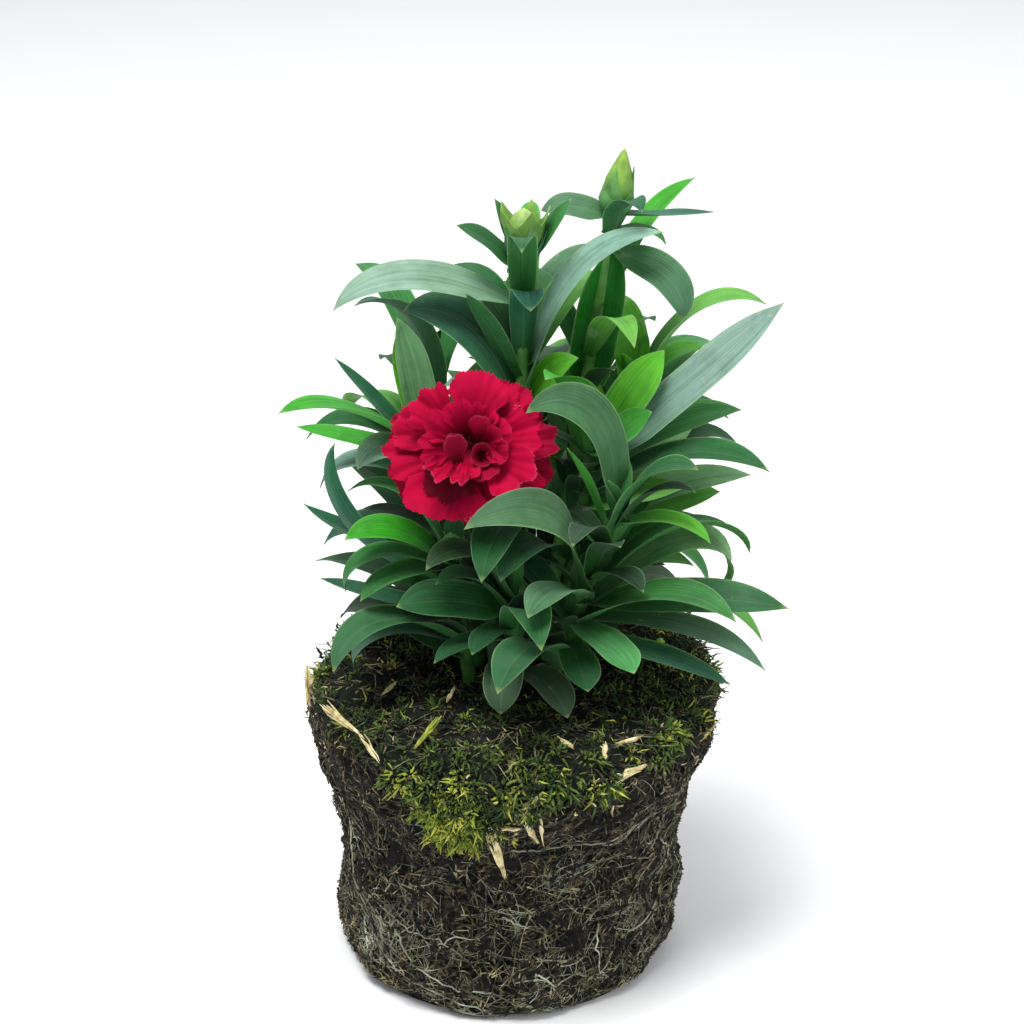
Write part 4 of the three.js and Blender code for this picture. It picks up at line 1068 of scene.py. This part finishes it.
def sideStrand(draw, long, points, thick, lift, high, sink):
    # a strand that lies on the side of the ball, its ends a little proud
    angle, z = 2 * math.pi * next(draw), 3 + (high - 3) * next(draw) ** sink
    way, bend = 2 * math.pi * next(draw), 1.6 * (next(draw) - 0.5)
    stands = lift * next(draw)
    line, radii = [], []
    step = long / (points - 1)
    for i in range(points):
        share = i / (points - 1)
        line.append(onSide(angle, min(77, max(0.8, z)), 0.25 + stands * (2 * share - 1) ** 2))
        radii.append(thick * (1 - 0.7 * share))
        angle += step * math.cos(way + bend * share) / ball["middle"]
        z += step * math.sin(way + bend * share)
    return line, radii


def crownSpot(draw):
    radius, angle = ball["crown"] * math.sqrt(next(draw)), 2 * math.pi * next(draw)
    return radius, topDrift + radius * math.cos(angle), radius * math.sin(angle)


def topStrand(draw, long, points, thick, lift):
    _, x, y = crownSpot(draw)
    way, bend, stands = 2 * math.pi * next(draw), 1.6 * (next(draw) - 0.5), lift * next(draw)
    line, radii = [], []
    step = long / (points - 1)
    for i in range(points):
        share = i / (points - 1)
        line.append(onTop(x, y, 0.4 + stands * share))
        radii.append(thick * (1 - 0.7 * share))
        x += step * math.cos(way + bend * share)
        y += step * math.sin(way + bend * share)
    return line, radii


draw = seeded(1717)
for name, bits in looseBits.items():
    strands = []
    for i in range(bits["count"]):
        long, thick = (least + more * next(draw) ** 2 for least, more in (bits["long"], bits["thick"]))
        if i % bits["crownEach"] == 0:
            made = topStrand(draw, long, bits["points"], thick, bits["lift"][0])
        else:
            made = sideStrand(draw, long, bits["points"], thick, bits["lift"][1], bits["high"], bits["sink"])
        strands.append((*made, 0))
    strandPiece(name, strands, [fine[bits["finish"]]])

rootWalk = {"step": 2.2, "around": 45, "proud": 0.45}


def wanderRoot(draw, angle, z, way, long, thick, strands, branches):
    line, radii = [], []
    steps = max(4, int(long / rootWalk["step"]))
    curve = 0.0
    for i in range(steps + 1):
        share = i / steps
        line.append(onSide(angle, z, rootWalk["proud"]))
        radii.append(thick * (1 - 0.75 * share))
        curve = 0.75 * curve + 0.5 * (next(draw) - 0.5)
        way += curve
        angle += rootWalk["step"] * math.cos(way) / rootWalk["around"]
        z = min(76, max(1.5, z + rootWalk["step"] * math.sin(way)))
        if branches and i > 1 and next(draw) < branches / steps:
            fork = way + (0.9 if next(draw) < 0.5 else -0.9)
            wanderRoot(draw, angle, z, fork, long * 0.4, thick * 0.6, strands, 0)
    strands.append((line, radii, 0))


strands = []
for i in range(ball["roots"]):
    angle = 2 * math.pi * next(draw)
    z = 3 + 60 * next(draw) ** 1.8
    way = (0 if next(draw) < 0.5 else math.pi) + 1.5 * (next(draw) - 0.5)
    wanderRoot(draw, angle, z, way, 6 + 26 * next(draw) ** 2, 0.09 + 0.13 * next(draw) ** 1.5, strands, 3)
# roots that show singly on the front: points of (x, height), thickness at the start and at the end
frontRoots = [
    ([(1.6, 52), (8, 51.4), (16, 52.6), (25, 52.2), (31, 54), (37, 55.5), (43.6, 54)], 0.42, 0.26),
    ([(8, 70), (7.8, 65), (6.5, 61), (7.6, 57)], 0.4, 0.2), ([(7, 63), (3, 59), (0.5, 57)], 0.35, 0.15),
    ([(-15, 49), (-12, 50.5), (-8.5, 51.5)], 0.45, 0.3),
    ([(-34, 16), (-25, 9), (-14, 6), (-4, 3.5)], 0.5, 0.3),
    ([(-27, 21), (-22, 14), (-12, 8.5), (-3, 9), (4, 5)], 0.45, 0.25),
    ([(24, 25), (23.2, 18), (24.6, 11), (27.5, 6)], 0.45, 0.2),
    ([(-18, 20), (-12, 25), (-6, 24)], 0.35, 0.2), ([(-31, 26), (-24, 22), (-16, 23), (-9, 18)], 0.4, 0.2),
    ([(-40, 44), (-38, 33), (-35, 24), (-34, 12)], 0.5, 0.25),
    ([(-41, 52), (-40, 42), (-36, 36)], 0.4, 0.2), ([(41, 50), (38, 44), (41, 38), (38, 30)], 0.5, 0.3),
    ([(42, 44), (35, 40), (30, 43)], 0.4, 0.2), ([(39, 22), (33, 18), (28, 22)], 0.4, 0.2),
    ([(8, 14), (13, 10), (19, 12), (24, 8)], 0.4, 0.2), ([(-1, 31), (4, 28), (9, 27)], 0.3, 0.2),
]
frontRoot = {"stepsEach": 6, "stray": 0.9, "slender": 0.7}


def frontAngle(x, z):
    share = (x - topDrift * z / soil) / np.interp(z, sideHeights, sideRadii)
    return -math.pi / 2 + math.asin(max(-0.999, min(0.999, share)))


for points, thick, thin in frontRoots:
    line, radii = [], []
    steps = frontRoot["stepsEach"] * (len(points) - 1)
    for i in range(steps + 1):
        leg = min(len(points) - 2, i // frontRoot["stepsEach"])
        share = (i - frontRoot["stepsEach"] * leg) / frontRoot["stepsEach"]
        x, z = (a + (b - a) * share for a, b in zip(points[leg], points[leg + 1]))
        x, z = (value + frontRoot["stray"] * (next(draw) - 0.5) for value in (x, z))
        line.append(onSide(frontAngle(x, z), max(1, z), 0.6))
        radii.append(frontRoot["slender"] * (thick + (thin - thick) * i / steps))
    strands.append((line, radii, 0))
# the tuft of roots low on the left
for i in range(ball["tuft"]):
    angle = frontAngle(-30 + 9 * (next(draw) - 0.5), 20) + 0.1 * (next(draw) - 0.5)
    way = math.pi * (0.2 + 0.9 * next(draw))
    height, long = 8 + 14 * next(draw), 6 + 12 * next(draw)
    wanderRoot(draw, angle, height, way, long, 0.14 + 0.14 * next(draw), strands, 2)
strandPiece("pale_roots", strands, [fine["paleRoot"]])
print("fibres and roots laid")

# moss hanging from the rim at the front: x, height and size in mm, and how much of it is yellow
mossBanks = [
    (-15, 57, 6, 0.7), (-10, 56, 5, 0.75), (-18, 63, 7, 0.5), (-9, 63, 7, 0.4), (-22, 69, 7, 0.35),
    (-12, 70, 8, 0.3), (-3, 68, 7, 0.2), (4, 71, 6, 0.08), (13, 71, 6, 0.08), (24, 70, 4, 0.4),
    (-3, 61, 5, 0.4), (42, 74, 5, 0.1),
]


def mossClump(start, outward, number, draw):
    # short curved sprigs springing from one spot
    sprigs = []
    for _ in range(ball["sprigs"]):
        lean = jitter(draw) * 2
        direction = (outward * 0.5 + lean).normalized()
        foot = start + lean * 1.4
        long = 0.8 + 2.6 * next(draw) ** 2
        sag = (1.6 * next(draw) - 0.8, 1.6 * next(draw) - 0.8, 1.2 * next(draw) - 0.9)
        thick = 0.17 + 0.22 * next(draw)
        line = [foot, foot + direction * long * 0.5, foot + direction * long + Vector(sag) * long * 0.5]
        sprigs.append((line, [thick, thick, 0.05], number))
    return sprigs


def mossKind(yellow, draw):
    share = next(draw)
    return 2 if share < yellow else 1 if share < 0.4 + yellow else 0


mossFinishes = [fine["darkMoss"], fine["greenMoss"], fine["yellowMoss"]]
strands = []
while len(strands) < ball["crownClumps"] * ball["sprigs"]:
    radius, x, y = crownSpot(draw)
    start = onTop(x, y, 0.3)
    if noise.noise(start * 0.11) > -0.25:
        yellow = 0.07 * (radius / ball["crown"]) ** 2
        strands += mossClump(start, Vector((0, 0, 1)), mossKind(yellow, draw), draw)
strandPiece("crown_moss", strands, mossFinishes)
strands = []
for i in range(ball["rimClumps"]):
    if i % 5 < 3:
        x, height, size, yellow = mossBanks[(i // 5 * 3 + i % 5) % len(mossBanks)]
        z = min(77.5, height + (next(draw) + next(draw) - 1) * size)
        angle = frontAngle(x + (next(draw) + next(draw) - 1) * size, z)
        start = onSide(angle, z, 0.3 + 1.2 * next(draw))
    else:
        yellow, angle = 0.1, 2 * math.pi * next(draw)
        start = onSide(angle, 77.4 - 5 * next(draw) ** 2 * (1 + noise.noise(Vector((2 * angle, 5, 0)))), 0.3)
    strands += mossClump(start, Vector((math.cos(angle), math.sin(angle), 0.2)), mossKind(yellow, draw), draw)
strandPiece("rim_moss", strands, mossFinishes)
print("moss laid")

# straws, each a frayed bundle: from, to, width in mm and number of fibres
straws = [
    ((-49, -8, 72), (-50, -5, 82.4), 2.2, 12), ((-49.8, -6, 75), (-48, -9, 80.4), 1.8, 8),
    ((-44.5, -24, 80.6), (-33.5, -40, 79.2), 2.2, 12), ((-34.5, -38.5, 79.2), (-29.5, -46, 75.5), 1.2, 6),
    ((-3.6, -51.8, 61), (0.4, -47.4, 43.5), 2.6, 18), ((-4, -52.4, 61.6), (4.6, -52.4, 61), 1.2, 8),
    ((24.4, -46.4, 70.8), (34.8, -42.4, 73.6), 2.8, 16), ((46.2, -25.5, 68.6), (54.4, -18.5, 74.4), 1.0, 6),
    ((3.0, -53.8, 65), (8.8, -53.8, 72), 2.0, 11), ((27, -41.5, 78.4), (33.6, -38.5, 79), 0.9, 5),
    ((12.4, -41, 80.4), (17, -44.5, 79), 1.1, 6), ((23.4, -43, 79.4), (24.2, -45.8, 76.4), 1.2, 6),
    ((-14, -24, 80.6), (-12, -19, 83), 0.8, 4), ((-30, -18, 80), (-26, -14, 82), 0.9, 4),
    ((4.5, -53, 63), (8.5, -52.4, 57), 0.7, 3), ((8, -53, 68), (9.5, -52.2, 56), 0.6, 3),
]
twigs = [((-15.6, -34, 82.5), (-21.8, -46, 79.4), 1.1, 7)]


def frayed(bundle, number, draw):
    # a bundle rests on top of the moss, a little outside its place on the ball
    start, end = (Vector(spot) + Vector((spot[0], spot[1], 20)).normalized() * 1.3 for spot in bundle[:2])
    wide, count = bundle[2:]
    along = end - start
    fibres = []
    for _ in range(count):
        shift, splay = jitter(draw), jitter(draw)
        first, last = 0.3 * next(draw) ** 2, 1 - 0.45 * next(draw) ** 1.5
        line = []
        for k in range(5):
            share = first + (last - first) * k / 4
            gather = 0.5 + 0.6 * (1 - share) ** 2 - 0.25 * share
            spot = start + along * share + shift * wide * gather
            line.append(spot + splay * wide * 0.7 * (share - 0.5) ** 2 + jitter(draw) * 0.5)
        thick = 0.18 + 0.3 * next(draw)
        fibres.append((line, [0.1, thick, thick * 1.2, thick, 0.04], number))
    return fibres


strands = []
for number, bundles in enumerate((straws, twigs)):
    for bundle in bundles:
        strands += frayed(bundle, number, draw)
for i in range(ball["chips"]):
    # chips scattered over the crown and the rim
    angle, long = 2 * math.pi * next(draw), 1.2 + 3.4 * next(draw) ** 2
    way = Vector((next(draw) - 0.5, next(draw) - 0.5, 0.5 * (next(draw) - 0.4))).normalized() * long
    kink = jitter(draw) * long * 0.4
    if i % 3:
        radius = ball["crown"] * math.sqrt(next(draw))
        start = onTop(topDrift + radius * math.cos(angle), radius * math.sin(angle), 1.2)
    else:
        start = onSide(angle, 77 - 14 * next(draw), 1.1)
    thick = 0.13 + 0.2 * next(draw) ** 2
    line = [start, start + way * 0.5 + kink, start + way]
    strands.append((line, [thick, thick, 0.06], (0, 2, 1, 2, 1, 2)[i % 6]))
strandPiece("straw_bits", strands, [fine["driedStraw"], fine["yellowMoss"], fine["strawFibre"]])

# one slow-release fertiliser prill on the crown
bm = bmesh.new()
prill = bmesh.ops.create_uvsphere(bm, u_segments=24, v_segments=14, radius=1.3)["verts"]
for vert in prill:
    vert.co += vert.co.normalized() * 0.12 * noise.noise(vert.co * 1.3)
bmesh.ops.translate(bm, verts=prill, vec=onTop(41, 14, 1.4))
finishPiece("fertiliser_prill", bm, [fine["fertiliserPrill"]])
print("straw laid")

low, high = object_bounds()
sizes = {"cad": [list(cadLow), list(cadHigh)], "visual": [list(low), list(high)]}
